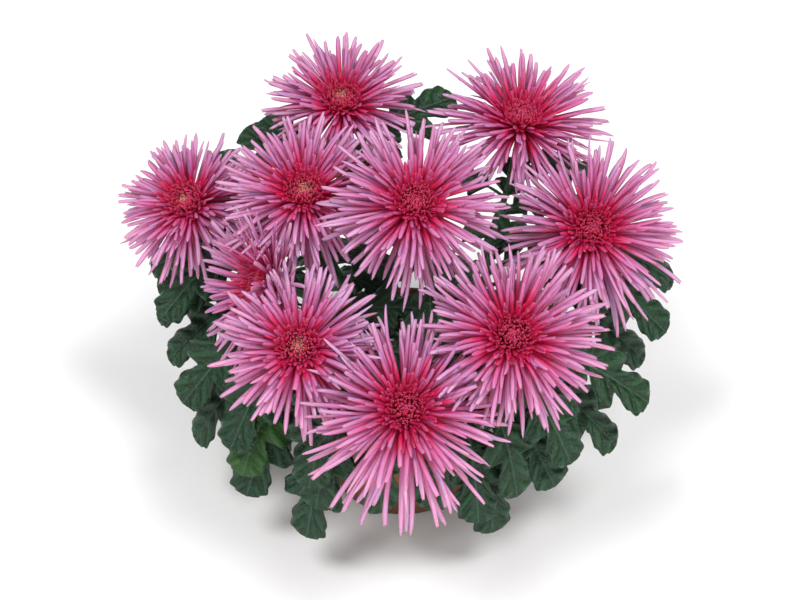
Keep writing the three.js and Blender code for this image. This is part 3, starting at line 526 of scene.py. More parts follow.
class Shells:
    """Closed shells gathered for one mesh: points, faces, and for each point a UV and a tone."""

    def __init__(self):
        self.points, self.uvs, self.tones, self.faces = [], [], [], []
        self.count = 0

    def add(self, rings, uv=(0.0, 0.0), tone=(0.0, 0.0, 0.0, 0.0)):
        """Adds closed tubes: rings has the shape (tubes, rings, corners, 3).

        Four-cornered faces join each ring to the next, and one face closes each end. Faces are
        turned round where the tubes' volume comes out negative, so they point outwards.
        """
        tubes, count, corners = rings.shape[:3]
        number = np.arange(tubes * count * corners).reshape(tubes, count, corners)
        ahead = np.roll(number, -1, axis=2)
        walls = np.stack([number[:, :-1], ahead[:, :-1], ahead[:, 1:], number[:, 1:]], -1)
        ends = np.concatenate([number[:, 0, ::-1], number[:, -1]])
        points = rings.reshape(-1, 3)
        walls = walls.reshape(-1, 4)
        if volume_of(points, walls) + volume_of(points, ends) < 0:
            walls, ends = walls[:, ::-1], ends[:, ::-1]
        self.faces += [walls + self.count, ends + self.count]
        self.points.append(points)
        self.uvs.append(np.broadcast_to(uv, rings.shape[:3] + (2,)).reshape(-1, 2))
        self.tones.append(np.broadcast_to(tone, rings.shape[:3] + (4,)).reshape(-1, 4))
        self.count += len(points)

    def piece(self, name, material):
        """An object with its place in its mesh, with smooth faces and one material."""
        mesh = bpy.data.meshes.new(name)
        points = np.concatenate(self.points) * MM
        corners = np.concatenate([faces.ravel() for faces in self.faces]).astype(np.int32)
        sizes = np.concatenate([np.full(len(faces), faces.shape[1]) for faces in self.faces])
        starts = np.concatenate([[0], np.cumsum(sizes)[:-1]]).astype(np.int32)
        mesh.vertices.add(len(points))
        mesh.vertices.foreach_set("co", points.astype(np.float32).ravel())
        mesh.loops.add(len(corners))
        mesh.loops.foreach_set("vertex_index", corners)
        mesh.polygons.add(len(sizes))
        mesh.polygons.foreach_set("loop_start", starts)
        mesh.polygons.foreach_set("use_smooth", np.ones(len(sizes), bool))
        uvs = np.concatenate(self.uvs)[corners].astype(np.float32)
        mesh.uv_layers.new(name="surface").data.foreach_set("uv", uvs.ravel())
        tones = np.concatenate(self.tones).astype(np.float32)
        layer = mesh.attributes.new("tone", "FLOAT_COLOR", "POINT")
        layer.data.foreach_set("color", tones.ravel())
        mesh.update(calc_edges=True)
        if mesh.validate():
            raise ValueError(f"{name}: the mesh had faulty faces")
        mesh.materials.append(material)
        piece = bpy.data.objects.new(name, mesh)
        bpy.context.scene.collection.objects.link(piece)
        return piece


def toned(shape, *values):
    """Four tone values for each point of this shape; those that aren't given are 0."""
    tone = np.zeros(shape + (4,))
    for channel, value in enumerate(values):
        tone[..., channel] = value
    return tone


def grid(across, along):
    """The two coordinates of a surface: across its width and along its length."""
    return np.stack(np.broadcast_arrays(across, along[:, None]), -1)


def volume_of(points, faces):
    """The volume inside faces: the sum of the wedges between the first point and each triangle."""
    total = 0.0
    arms = points[faces] - points[0]
    for k in range(1, faces.shape[1] - 1):
        wedge = np.cross(arms[:, k], arms[:, k + 1])
        total += (arms[:, 0] * wedge).sum()
    return total


def dress(piece, material_slot, *nodes):
    """Hands a finished piece to the frame, in place of CAD nodes."""
    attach(piece, "root")
    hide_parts(*nodes)


def swept(path, radius, turn_steps, ribs=0.0):
    """Rings of a rod: at each point of the path a circle square to it, with six low ribs.

    The circle's two directions are carried along from ring to ring, so that the rod doesn't twist.
    """
    ahead = unit(np.gradient(path, axis=0))
    first, _ = sides_of(ahead[0])
    rows = []
    for direction in ahead:
        first = unit(first - direction * (first @ direction))
        rows.append((first, np.cross(direction, first)))
    first = np.array([row[0] for row in rows])[:, None]
    second = np.array([row[1] for row in rows])[:, None]
    angle = circle(turn_steps)[None, :, None]
    size = np.reshape(radius, (-1, 1, 1)) * (1 + ribs * np.cos(6 * angle))
    return path[:, None] + size * (first * np.cos(angle) + second * np.sin(angle))


def waves(points, count, shortest, longest, seed):
    """A rough height for each point: cosines of random lengths and directions, added up.

    A wave's height is the root of its length, and their sum is shared by the root of their number.
    """
    random = np.random.default_rng(seed)
    length = random.uniform(shortest, longest, count)
    way = unit(random.normal(size=(count, points.shape[-1]))) / length[:, None]
    phase = random.uniform(0, 2 * math.pi, count)
    heights = np.cos(2 * math.pi * (points @ way.T) + phase) * np.sqrt(length / longest)
    return heights.sum(-1) / math.sqrt(count)


# ---- Leaf blades ----

# Ribs run to the lobes: the place of a lobe's rib on the midrib, half of its length, its width.
LOBES = ((0.1, 0.12, 0.68), (0.39, 0.155, 1.0), (0.76, 0.245, 0.58))
RIB_START = -0.1
RIB_STEP = 0.17
# How much steeper than the lobes the side ribs run forward.
RIB_SLANT = 0.19
LEAF_RINGS = 62
LEAF_ACROSS = 12
STALK_RINGS = 6
TEETH = 10
# Width of a cushion's flank beside a rib, and how deep the lobes hang.
CUSHION_FLANK = 3.2
LOBE_DEPTH = 2.3
# Along the midrib, the droop of the lobes and the rise of the blade between them.
LOBE_DROOP = ((0, 0.09, 0.235, 0.39, 0.55, 0.72, 1), (0, 1, -0.8, 1, -0.8, 0.8, 0.9))


@functools.lru_cache(maxsize=None)
def leaf_outline():
    """Places of the ribs on the midrib (0 to 1) and the half width there, with rounded teeth.

    The width is a smooth greatest value of one rounded hump for each lobe and a narrow web along
    the midrib. Stations are an equal length apart along the edge, and the teeth are a sine wave
    along it with its lower halves turned up.
    """
    place = np.linspace(0, 1, 800)
    parts = [0.05 + 0.27 * np.minimum(1, place / 0.3) * np.sqrt(np.maximum(0, 1 - place**4))]
    for centre, half, width in LOBES:
        parts.append(width * np.sqrt(np.maximum(0, 1 - np.abs((place - centre) / half) ** 2.1)))
    sharp = 9
    width = (np.array(parts) ** sharp).sum(0) ** (1 / sharp)
    width *= np.clip(place / 0.05, 0.12, 1) * np.sqrt(np.clip((1 - place) / 0.03, 0, 1))
    steps = np.hypot(np.diff(place), np.diff(width) * LEAF_HALF_WIDTH)
    edge = np.concatenate([[0], np.cumsum(steps)])
    edge /= edge[-1]
    even = np.linspace(0, 1, LEAF_RINGS)
    place, width = np.interp(even, edge, place), np.interp(even, edge, width)
    tooth = np.abs(np.sin(math.pi * TEETH * even))
    window = np.clip(even / 0.12, 0, 1) * np.clip((1 - even) / 0.04, 0, 1)
    return place, np.maximum(0.02, width * (1 - 0.05 * window) + 0.07 * window * (tooth - 0.5))


def wandering_ribs(place, across, phase):
    """The place on the midrib of the side rib that runs through each point.

    Side ribs run forward on their way out, and two small waves make them wander off their line.
    """
    out = np.abs(across)
    wander = 0.022 * np.sin(4.5 * across + phase[0])
    wander = wander + 0.018 * np.sin(9 * across + 7 * place + phase[1])
    return place - RIB_SLANT * out + wander * np.minimum(1, 4 * out)


def cushions(leaf, from_midrib, rib_place):
    """Heights of the blade between its ribs, from 0 on a rib to 1.

    A height is 1 - exp(-(distance from the nearest rib / flank)^2).
    """
    to_rib = np.abs((rib_place - RIB_START + RIB_STEP / 2) % RIB_STEP - RIB_STEP / 2)
    to_rib = to_rib * leaf.blade_length() * 0.75 + 0.05 * from_midrib
    return 1 - np.exp(-((np.minimum(from_midrib, to_rib) / CUSHION_FLANK) ** 2))


def edge_waves(place, across, phase):
    """Two slow waves along the blade, which grow from the midrib out to the edge.

    The first one lifts one half of the blade where it lowers the other.
    """
    out = np.abs(across)
    first = 1.2 * np.sin(2 * math.pi * 2.3 * place + phase[0]) * across * out
    return first + 1.3 * np.sin(2 * math.pi * 4.8 * place + phase[1]) * out**3


def add_leaf(shells, leaf, number, settings):
    """A stalk that broadens into a lobed blade, as one closed tube of flat rings.

    Half of each ring is the upper face and half the lower one. The height off the leaf's plane is
    the fold of its halves, a droop of its lobes, the waves and the curl of its edge, and the
    cushions between its ribs. Below, a midrib stands out.
    """
    random = np.random.default_rng(500 + number)
    place, width = (values[:, None] for values in leaf_outline())
    upper = np.linspace(-1, 1, LEAF_ACROSS + 1)
    v = np.concatenate([upper, upper[-2:0:-1]])
    under = np.concatenate([np.zeros(LEAF_ACROSS + 1), np.ones(LEAF_ACROSS - 1)])
    face = np.where(np.abs(v) == 1, 0, 1 - 2 * under)

    across = width * v
    out = np.abs(across)
    slant = LEAF_SLANT * out * np.minimum(1, (1 - place) / 0.15)
    share = leaf.stalk + (1 - leaf.stalk) * (place + slant)
    from_midrib = out * leaf.half_width()
    phase = random.uniform(0, 2 * math.pi, 4)
    rib_place = wandering_ribs(place, across, phase[2:])
    cushion = cushions(leaf, from_midrib, rib_place)
    cushion = cushion * (1 - np.abs(v) ** 8) * np.minimum(1, width / 0.3)
    droop = LOBE_DEPTH * np.interp(place, *LOBE_DROOP) * out
    curl = random.uniform(-2.2, 0.2) * np.abs(v) ** 5 * width
    thick = settings.thickness / MM / 2 * (1 - 0.75 * np.abs(v) ** 6)
    midrib = 0.55 * np.exp(-((from_midrib / 0.9) ** 2)) * under * (1 - 0.7 * place)
    height = (settings.puff / MM * cushion - droop + edge_waves(place, across, phase)
              + curl + face * (thick + midrib))
    blade = leaf.points(share, across, height, FINE_ARC_STEPS)

    stalk_across = np.linspace(0.075, 0.06, STALK_RINGS)[:, None] * v
    stalk_thick = 0.95 * face * np.sqrt(np.maximum(0, 1 - v**2))
    stalk_share = np.linspace(0, leaf.stalk, STALK_RINGS, endpoint=False)[:, None]
    stalk_share = np.broadcast_to(stalk_share, stalk_across.shape)
    stalk = leaf.points(stalk_share, stalk_across, stalk_thick - 0.2 * np.abs(v), FINE_ARC_STEPS)

    rib_place = np.concatenate([np.full(stalk_across.shape, RIB_START + RIB_STEP / 2), rib_place])
    every_across = np.concatenate([stalk_across, across])
    uv = np.stack([0.5 + 0.5 * every_across, rib_place], -1)
    tone = toned(every_across.shape, random.uniform(), under, np.abs(v), leaf.young)
    shells.add(np.concatenate([stalk, blade])[None], uv[None], tone[None])


# ---- Stems, cups and bracts ----

def add_stems(shells, cutting):
    """The ribbed main stem and its two branches, each swelling a little under its bloom."""
    main, branches = stem_curves(cutting)
    foot = main[0] - (0, 0, 4)
    path = np.concatenate([
        [foot - (0, 0, STEM["depth"]), foot - (0, 0, STEM["depth"] / 2), foot],
        on_curve(main, np.linspace(0, 1, 22)),
    ])
    radius = np.interp(np.arange(len(path)), (0, len(path) - 1), (STEM["radius"], 2.45))
    shells.add(swept(path, radius, 18, 0.05)[None], (0.5, 0.5), (0.4, 0.0, 0.0, 0.0))
    for branch in branches:
        along = np.linspace(0, 0.985, 40)
        path = on_curve(branch, along)
        radius = STEM["branch_radius"] - 0.25 * along + 0.7 * np.clip((along - 0.88) / 0.1, 0, 1)
        shells.add(swept(path, radius, 18, 0.06)[None], (0.5, 0.5), (0.5, 0.0, 0.0, 0.0))


# The cup under a bloom, from its foot to its brim: height under the brim and radius.
CUP = ((-12, 1.8), (-10.5, 2.6), (-8.5, 4.6), (-6, 6.4), (-3, 7.6), (-0.6, 8.0), (0, 7.2))
# Rows of bracts: height of the root, length, number in the row.
BRACTS = ((-9.5, 7.5, 11), (-7.2, 8.5, 13), (-4.4, 7.6, 16))


def add_cup(shells, bloom):
    """The green cup, turned about the bloom's axis, and the bracts lying on it in rows.

    A bract is a blade whose half width is 1.5 * sqrt(sin(pi * share)) and which follows the cup's
    profile a little outside it, standing off at its tip.
    """
    axis = axis_of(bloom)
    top = bloom["centre"] - axis * (CORE_HEIGHT + GAP)
    heights, radii = np.array(CUP).T
    along = np.linspace(0, 1, 13)
    height = np.interp(along, np.linspace(0, 1, len(CUP)), heights)
    radius = np.interp(along, np.linspace(0, 1, len(CUP)), radii)
    cup = top + axis * height[:, None, None] + around(axis, circle(28)) * radius[:, None, None]
    shells.add(cup[None], (0.5, 0.5), (0.35, 0.0, 0.0, 0.0))

    share = np.array([0.02, 0.2, 0.45, 0.7, 0.9, 0.99])
    for row, (root, length, count) in enumerate(BRACTS):
        way = (np.arange(count) + row / 2) * 2 * math.pi / count
        out = around(axis, way)[:, None, None]
        side = np.cross(axis, out)
        climb = root + length * share
        lift = 0.35 + 0.5 * share**3 * (3 - row)
        base = np.interp(np.minimum(climb, -0.6), heights, radii) + lift
        half = (1.5 * np.sqrt(np.sin(math.pi * (0.12 + 0.87 * share))))[:, None]
        across = np.array([-1, -0.5, 0.5, 1, 0.5, -0.5])
        thick = np.array([0, 0.28, 0.28, 0, -0.1, -0.1]) - 0.22 * across**2
        place = np.minimum(climb, 1.5)[:, None, None] * axis
        rings = (top + place + out * (base[:, None] + thick)[..., None]
                 + side * (half * across)[..., None])
        shells.add(rings, grid(0.5 + 0.5 * across, share)[None], (0.2, 0.0, 0.0, 0.0))


# ---- Rays ----

# Along a ray: places, the widths of a pointed and of a blunt one as shares of its width, thickness.
RAY_PLACES = np.array([0, 0.1, 0.26, 0.46, 0.66, 0.82, 0.9, 0.95, 1.0])
POINTED_WIDTHS = np.array([0.62, 0.74, 0.86, 0.94, 1.0, 0.92, 0.74, 0.54, 0.14])
BLUNT_WIDTHS = np.array([0.62, 0.72, 0.82, 0.9, 1.0, 1.02, 1.0, 0.96, 0.7])
RAY_THICKNESS = np.array([1.2, 1.2, 1.2, 1.1, 1.0, 0.85, 0.7, 0.55, 0.3])


class Rays:
    """The rays of one bloom as arrays: how each leaves the core, leans, curls and how long it is."""

    def __init__(self, bloom, number, settings):
        """Rays turn round by the golden angle while they climb from the lowest level to the highest."""
        random = np.random.default_rng(3000 + number)
        count = settings.count + settings.inner_count
        index = np.arange(count)
        self.bloom = bloom
        self.axis = axis_of(bloom)
        outer = 5 * ((index + 0.5) / settings.count) ** 1.12
        inner = 5 + (index + 0.5 - settings.count) / settings.inner_count
        self.level = level = np.where(index < settings.count, outer, inner)
        self.outer_count = settings.count

        def either_way(most):
            return random.uniform(-most, most, count)

        turn = index * rad(GOLDEN_ANGLE) + rad(either_way(6))
        clumps = random.uniform(0, 2 * math.pi, len(CLUMP_WAVES))
        for waves_round, phase in zip(CLUMP_WAVES, clumps):
            turn = turn + CLUMPING / waves_round * np.sin(waves_round * turn + phase)
        self.turn = turn
        out = around(self.axis, turn)
        down = np.clip(-out[:, 2] / 0.6, -0.3, 1)
        levels = np.arange(len(RAY_LEAN))
        reach = bloom["reach"] * np.interp(level, levels, RAY_REACH) * random.uniform(0.8, 1.1, count)
        self.length = reach * (1 + bloom["hang"] * np.maximum(0, down)) - 6
        lean = np.interp(level, levels, RAY_LEAN)
        self.lean = lean - bloom["cup"] * (lean / RAY_LEAN[0]) ** 2 + either_way(8)
        self.curl = np.interp(level, levels, RAY_CURL) + 6 * down + either_way(16)
        self.swerve = either_way(19)
        self.twist = either_way(50)
        self.width = settings.width / MM * random.uniform(0.75, 1.12, count)
        self.width *= np.interp(level, (4, 5, 6), (1, 0.85, 0.65))
        self.tone = random.uniform(0, 1, count)
        self.blunt = random.uniform(0, 1, count)
        self.notch = random.uniform(0, 3.6, count) * (self.blunt > 0.45)
        height = np.interp(level, levels, RAY_ROOT_HEIGHT)
        radius = np.interp(level, levels, RAY_ROOT_RADIUS)
        self.root = bloom["centre"] + self.axis * height[:, None] + out * radius[:, None]

    def line(self, which, length, lean, turn):
        """Middle lines of some rays, as (rays, places, 3).

        A ray's lean from the axis grows by its curl along its length, and its way round by its
        swerve times the square of the share; the line adds up small steps in that direction.
        """
        steps = 24
        share = (np.arange(steps) + 0.5) / steps
        angle = rad(lean[:, None] + self.curl[which][:, None] * share)[..., None]
        out = around(self.axis, turn[:, None] + rad(self.swerve[which])[:, None] * share**2)
        step = (out * np.sin(angle) + self.axis * np.cos(angle)) * (length / steps)[:, None, None]
        start = self.root[which][:, None]
        line = np.concatenate([start, start + np.cumsum(step, 1)], 1)
        place = RAY_PLACES * steps
        before = np.minimum(steps - 1, place.astype(int))
        part = (place - before)[None, :, None]
        return line[:, before] * (1 - part) + line[:, before + 1] * part

    def clear(self, taken):
        """Turns, lifts or shortens the outer rays, one by one, until they are clear of what is taken."""
        changes = list(itertools.product((0, -6, 6, -12, -18, 10), (0, 4, -4)))
        for i in range(self.outer_count):
            which = np.array([i])

            def is_clear(share, lean, turn):
                line = self.line(
                    which, self.length[which] * share, np.maximum(LEAST_LEAN, self.lean[which] + lean),
                    self.turn[which] + rad(turn))
                return far_from(line[0, 2:], taken, RAY_ROOM)

            for share in (1, 0.9, 0.8, 0.68, 0.55, 0.42):
                found = next((change for change in changes if is_clear(share, *change)), None)
                if found is not None:
                    self.length[i] *= share
                    self.lean[i] = max(LEAST_LEAN, self.lean[i] + found[0])
                    self.turn[i] += rad(found[1])
                    break
            else:
                self.length[i] *= 0.35

    def lines(self):
        return self.line(np.arange(len(self.turn)), self.length, self.lean, self.turn)

    def rings(self):
        """Six-cornered rings: a rounded upper side, a flatter lower one, narrow at the root.

        The ends run from pointed to blunt, and the middle of many a blunt one is notched.
        """
        line = self.lines()
        ahead = unit(np.gradient(line, axis=1))
        side = unit(np.cross(self.axis, ahead))
        lift = np.cross(ahead, side)
        roll = rad(self.twist)[:, None, None] * (RAY_PLACES**1.5)[None, :, None]
        level_side, level_lift = side, lift
        side = level_side * np.cos(roll) + level_lift * np.sin(roll)
        lift = level_lift * np.cos(roll) - level_side * np.sin(roll)
        across = np.array([1, 0.5, -0.5, -1, -0.5, 0.5])
        above = np.array([-0.1, 0.5, 0.5, -0.1, -0.42, -0.42])
        widths = mix(POINTED_WIDTHS, BLUNT_WIDTHS, self.blunt[:, None])
        half = (self.width[:, None] / 2 * widths)[..., None] * across
        thick = RAY_THICKNESS[None, :, None] * above
        rings = line[:, :, None] + side[:, :, None] * half[..., None]
        rings = rings + lift[:, :, None] * thick[..., None]
        back = self.notch[:, None] * (1 - np.abs(across))
        rings[:, -1] -= ahead[:, -1, None] * back[..., None]
        return rings


def add_rays(shells, rays):
    """The rays, with tones for shade, distance from the middle, level and lower side."""
    rings = rays.rings()
    across = np.array([1, 0.75, 0.25, 0, 0.25, 0.75])
    under = np.array([0, 0, 0, 0, 1, 1])
    away = np.linalg.norm(rings - rays.bloom["centre"], axis=-1) / rays.bloom["reach"]
    shade, level = rays.tone[:, None, None], rays.level[:, None, None] / 6
    tone = toned(rings.shape[:3], shade, away, level, under)
    shells.add(rings, grid(across, RAY_PLACES)[None], tone)


# The turned bodies under the rays and under the florets: heights over the core's top, and radii.
RAY_CORE = np.array([(-CORE_HEIGHT, -3.7, -1.9, -0.2), (7.0, 8.0, 7.6, 6.4)])
DISC_CORE = np.array([(0.1, 1.4, 3.0, 4.3, 4.9), (6.1, 6.2, 5.0, 2.6, 0.4)])


def add_core(shells, bloom, profile, tone, along=0.0):
    """A low body turned about the bloom's axis, which the rays or florets stand on."""
    axis = axis_of(bloom)
    heights, radii = profile[..., None, None]
    rings = bloom["centre"] + axis * heights + around(axis, circle(24)) * radii
    shells.add(rings[None], (0.5, along), tone)


# The ball of points that keeps the rays of other blooms out of a bloom's middle.
HEAD = {"radius": 10.5, "height": 1.5, "points": 160}


@functools.lru_cache(maxsize=None)
def all_rays():
    """The rays of all blooms, in the order in which they take their room."""
    settings = bpy.context.scene.chrysanthemum_rays
    shares, acrosses = np.meshgrid(np.linspace(0.15, 1, 22), np.linspace(-0.9, 0.9, 7))
    taken = [stem_points(i) for i in range(len(CUTTINGS))]
    for leaf in placed_leaves():
        blade = (shares - leaf.stalk) / (1 - leaf.stalk)
        width = np.sqrt(np.maximum(0, 1 - ((blade - 0.48) / 0.53) ** 2))
        taken.append(leaf.points(shares, acrosses * width).reshape(-1, 3))
    made = [None] * len(BLOOMS)
    ball = unit(np.random.default_rng(5).normal(size=(HEAD["points"], 3))) * HEAD["radius"]
    heads = [bloom["centre"] + axis_of(bloom) * HEAD["height"] + ball for bloom in BLOOMS]
    for number in BLOOM_ORDER:
        bloom = BLOOMS[number]
        near = np.concatenate(taken + heads[:number] + heads[number + 1:])
        away = np.linalg.norm(near - bloom["centre"], axis=1)
        near = near[(away < bloom["reach"] * 1.4 + 8) & (away > 16)]
        rays = Rays(bloom, number, settings)
        rays.clear(near)
        made[number] = rays
        lines = rays.lines()
        half_way = (lines[:, 1:] + lines[:, :-1]) / 2
        taken += [lines[:, 2:].reshape(-1, 3), half_way[:, 2:].reshape(-1, 3)]
    return made


# ---- Disc florets ----

# Along a floret: places, and widths as shares of its width. The roots spread over the disc's radius.
FLORET_PLACES = np.array([0, 0.3, 0.6, 0.85, 1.0])
FLORET_WIDTHS = np.array([0.7, 0.85, 1.0, 0.9, 0.3])
DISC_RADIUS = 6.7


def add_florets(shells, bloom, number, settings):
    """Short incurved florets on a dome, set by the golden angle from the middle outwards.

    A floret's lean from the axis is 74 degrees at the rim and falls to none in the middle, and it
    hooks inwards along its length. Those of the golden middle are shorter and straighter.
    """
    random = np.random.default_rng(900 + number)
    count = settings.count
    index = np.arange(count)
    spot = np.sqrt((index + 0.5) / count)
    axis = axis_of(bloom)
    out = around(axis, index * rad(GOLDEN_ANGLE) + rad(random.uniform(-6, 6, count)))
    root = (bloom["centre"] + out * (DISC_RADIUS * spot)[:, None]
            + axis * (0.6 + 3.8 * (1 - spot**2))[:, None])
    golden = np.clip((bloom["gold"] - spot) / 0.1 + random.uniform(-0.5, 0.5, count), 0, 1)
    length = (4.6 + 6.2 * spot**1.5) * random.uniform(0.75, 1.2, count) * (1 - 0.4 * golden)
    lean = 74 * spot**1.2 + random.uniform(-16, 16, count)
    bend = (-52 * spot - 20) * (1 - 0.6 * golden) + random.uniform(-22, 22, count)
    angle = rad(lean[:, None] + bend[:, None] * FLORET_PLACES)[..., None]
    steps = np.diff(FLORET_PLACES, prepend=0)[None, :, None] * length[:, None, None]
    line = root[:, None] + np.cumsum(
        steps * (out[:, None] * np.sin(angle) + axis * np.cos(angle)), 1)
    side = np.broadcast_to(np.cross(axis, out)[:, None], line.shape)
    lift = np.cross(unit(np.gradient(line, axis=1)), side)
    turn = circle(5)
    half = (settings.width / MM / 2 * random.uniform(0.85, 1.2, count))[:, None, None]
    half = half * FLORET_WIDTHS[None, :, None] * (1 - 0.15 * golden[:, None, None])
    rings = (line[:, :, None] + side[:, :, None] * (half * np.cos(turn))[..., None]
             + lift[:, :, None] * (half * 0.7 * np.sin(turn))[..., None])
    shade = random.uniform(0, 1, count)
    values = (value[:, None, None] for value in (shade, golden, spot))
    tone = toned(rings.shape[:3], *values)
    shells.add(rings, grid(np.cos(turn) * 0.5 + 0.5, FLORET_PLACES)[None], tone)


# ---- Pot and potting mix ----

def pot_profile():
    """The pot's cut outline from the axis underneath, round the rim, to the axis inside.

    Corners are rounded by setting points on small arcs: "corner" gives a quarter turn's points.
    """
    def corner(radius, z, size, start, turn=90, steps=5):
        angle = rad(np.linspace(start, start + turn, steps))
        return [(radius + size * math.cos(a), z + size * math.sin(a)) for a in angle]

    def inner(z):
        return POT["base"] - POT["wall"] + POT_SLOPE * z

    outline = [(0.4, 0), (10, 0), (22, 0), (34, 0), (POT["base"] - 3, 0)]
    outline += corner(POT["base"] - 1.2, 1.2, 1.2, -90)
    outline += [(POT["base"] + POT_SLOPE * z, z) for z in np.linspace(4, POT["shoulder_height"] - 1, 12)]
    outline += [(POT["band"] - 0.8, POT["shoulder_height"])]
    outline += corner(POT["band"] - 0.8, POT["shoulder_height"] + 0.8, 0.8, -90, 80, 4)
    outline += [(mix(POT["band"], POT["rim"], s), POT["shoulder_height"] + 14 * s) for s in (0.4, 0.7)]
    outline += corner(POT["rim"] - 1.25, POT["height"] - 1.25, 1.25, 0, 90, 5)
    outline += corner(inner(POT["height"]) + 1, POT["height"] - 1, 1, 90, 90, 4)
    outline += [(inner(z), z) for z in np.linspace(POT["height"] - 5, POT["floor"] + 3, 8)]
    outline += [(inner(POT["floor"]) - 1.5, POT["floor"]), (24, POT["floor"]), (0.4, POT["floor"])]
    return np.array(outline)


def turned(profile, steps):
    """Rings of a body turned about the pot's axis."""
    angle = circle(steps)
    level = np.stack([np.cos(angle), np.sin(angle), np.zeros(steps)], -1)
    return level * profile[:, None, :1] + np.array([0, 0, 1]) * profile[:, None, 1:]


def drain_pins():
    """Pins where the drain holes go, for cutting them out of the pot's floor."""
    pins = []
    for i in range(POT["drain_holes"]):
        middle = polar(POT["drain_circle"], 45 + 360 * i / POT["drain_holes"], 0)
        path = middle + np.array([(0, 0, -2), (0, 0, 1), (0, 0, POT["floor"] + 2)])
        pins.append(swept(path, POT["drain_radius"], 28))
    return np.array(pins)


def cut_away(piece, cutter):
    """Cuts one closed piece out of another and leaves the result as the piece's own mesh."""
    cut = piece.modifiers.new("drain holes", "BOOLEAN")
    cut.operation = "DIFFERENCE"
    cut.solver = "EXACT"
    cut.object = cutter
    depsgraph = bpy.context.evaluated_depsgraph_get()
    mesh = bpy.data.meshes.new_from_object(piece.evaluated_get(depsgraph))
    piece.modifiers.clear()
    piece.data = mesh
    bpy.data.objects.remove(cutter)


def soil_rings():
    """The potting mix: a wall just inside the pot and a top of crumbly lumps.

    The top's height is the sum of long, middling and short waves, which fade out at the rim.
    """
    low = POT["floor"] + GAP

    def inner(z):
        return POT["base"] - POT["wall"] - GAP - 0.15 + POT_SLOPE * z

    wall = [(0.4, low), (inner(low) - 1, low)]
    wall += [(inner(z), z) for z in (low + 1, 30, 60, SOIL_TOP - 1)]
    radii = np.concatenate([np.linspace(inner(SOIL_TOP) - 0.3, 3, 56), [0.4]])
    top = np.stack([radii, np.full(len(radii), float(SOIL_TOP))], -1)
    rings = turned(np.concatenate([wall, top]), 200)
    flat = rings[len(wall):, :, :2]
    bumps = (0.8 * waves(flat, 24, 14, 30, 1) + 0.75 * waves(flat, 60, 3.5, 9, 2)
             + 0.35 * waves(flat, 90, 1.6, 3.2, 3))
    fade = np.clip((inner(SOIL_TOP) - radii) / 4, 0, 1)[:, None]
    rings[len(wall):, :, 2] += bumps * fade
    return rings


def crumb_rings(count, seed):
    """Lumps lying on the mix: balls of six rings, flattened, stretched and dented at random."""
    random = np.random.default_rng(seed)
    radius = CRUMB_CIRCLE * np.sqrt(random.uniform(0.02, 1, count))
    way = random.uniform(0, 2 * math.pi, count)
    size = random.uniform(0.8, 2.3, count)
    middle = np.stack([radius * np.cos(way), radius * np.sin(way), SOIL_TOP + 0.4 * size], -1)
    down = rad(np.linspace(8, 172, 6))
    ball = np.stack(np.broadcast_arrays(
        np.sin(down)[:, None] * np.cos(circle(7)), np.sin(down)[:, None] * np.sin(circle(7)),
        np.cos(down)[:, None] * 0.7), -1)
    dents = random.uniform(0.75, 1.2, (count, 6, 7, 1))
    stretch = random.uniform(0.75, 1.4, (count, 1, 1, 3))
    return middle[:, None, None] + ball[None] * size[:, None, None, None] * dents * stretch


# ---- Shader nodes ----

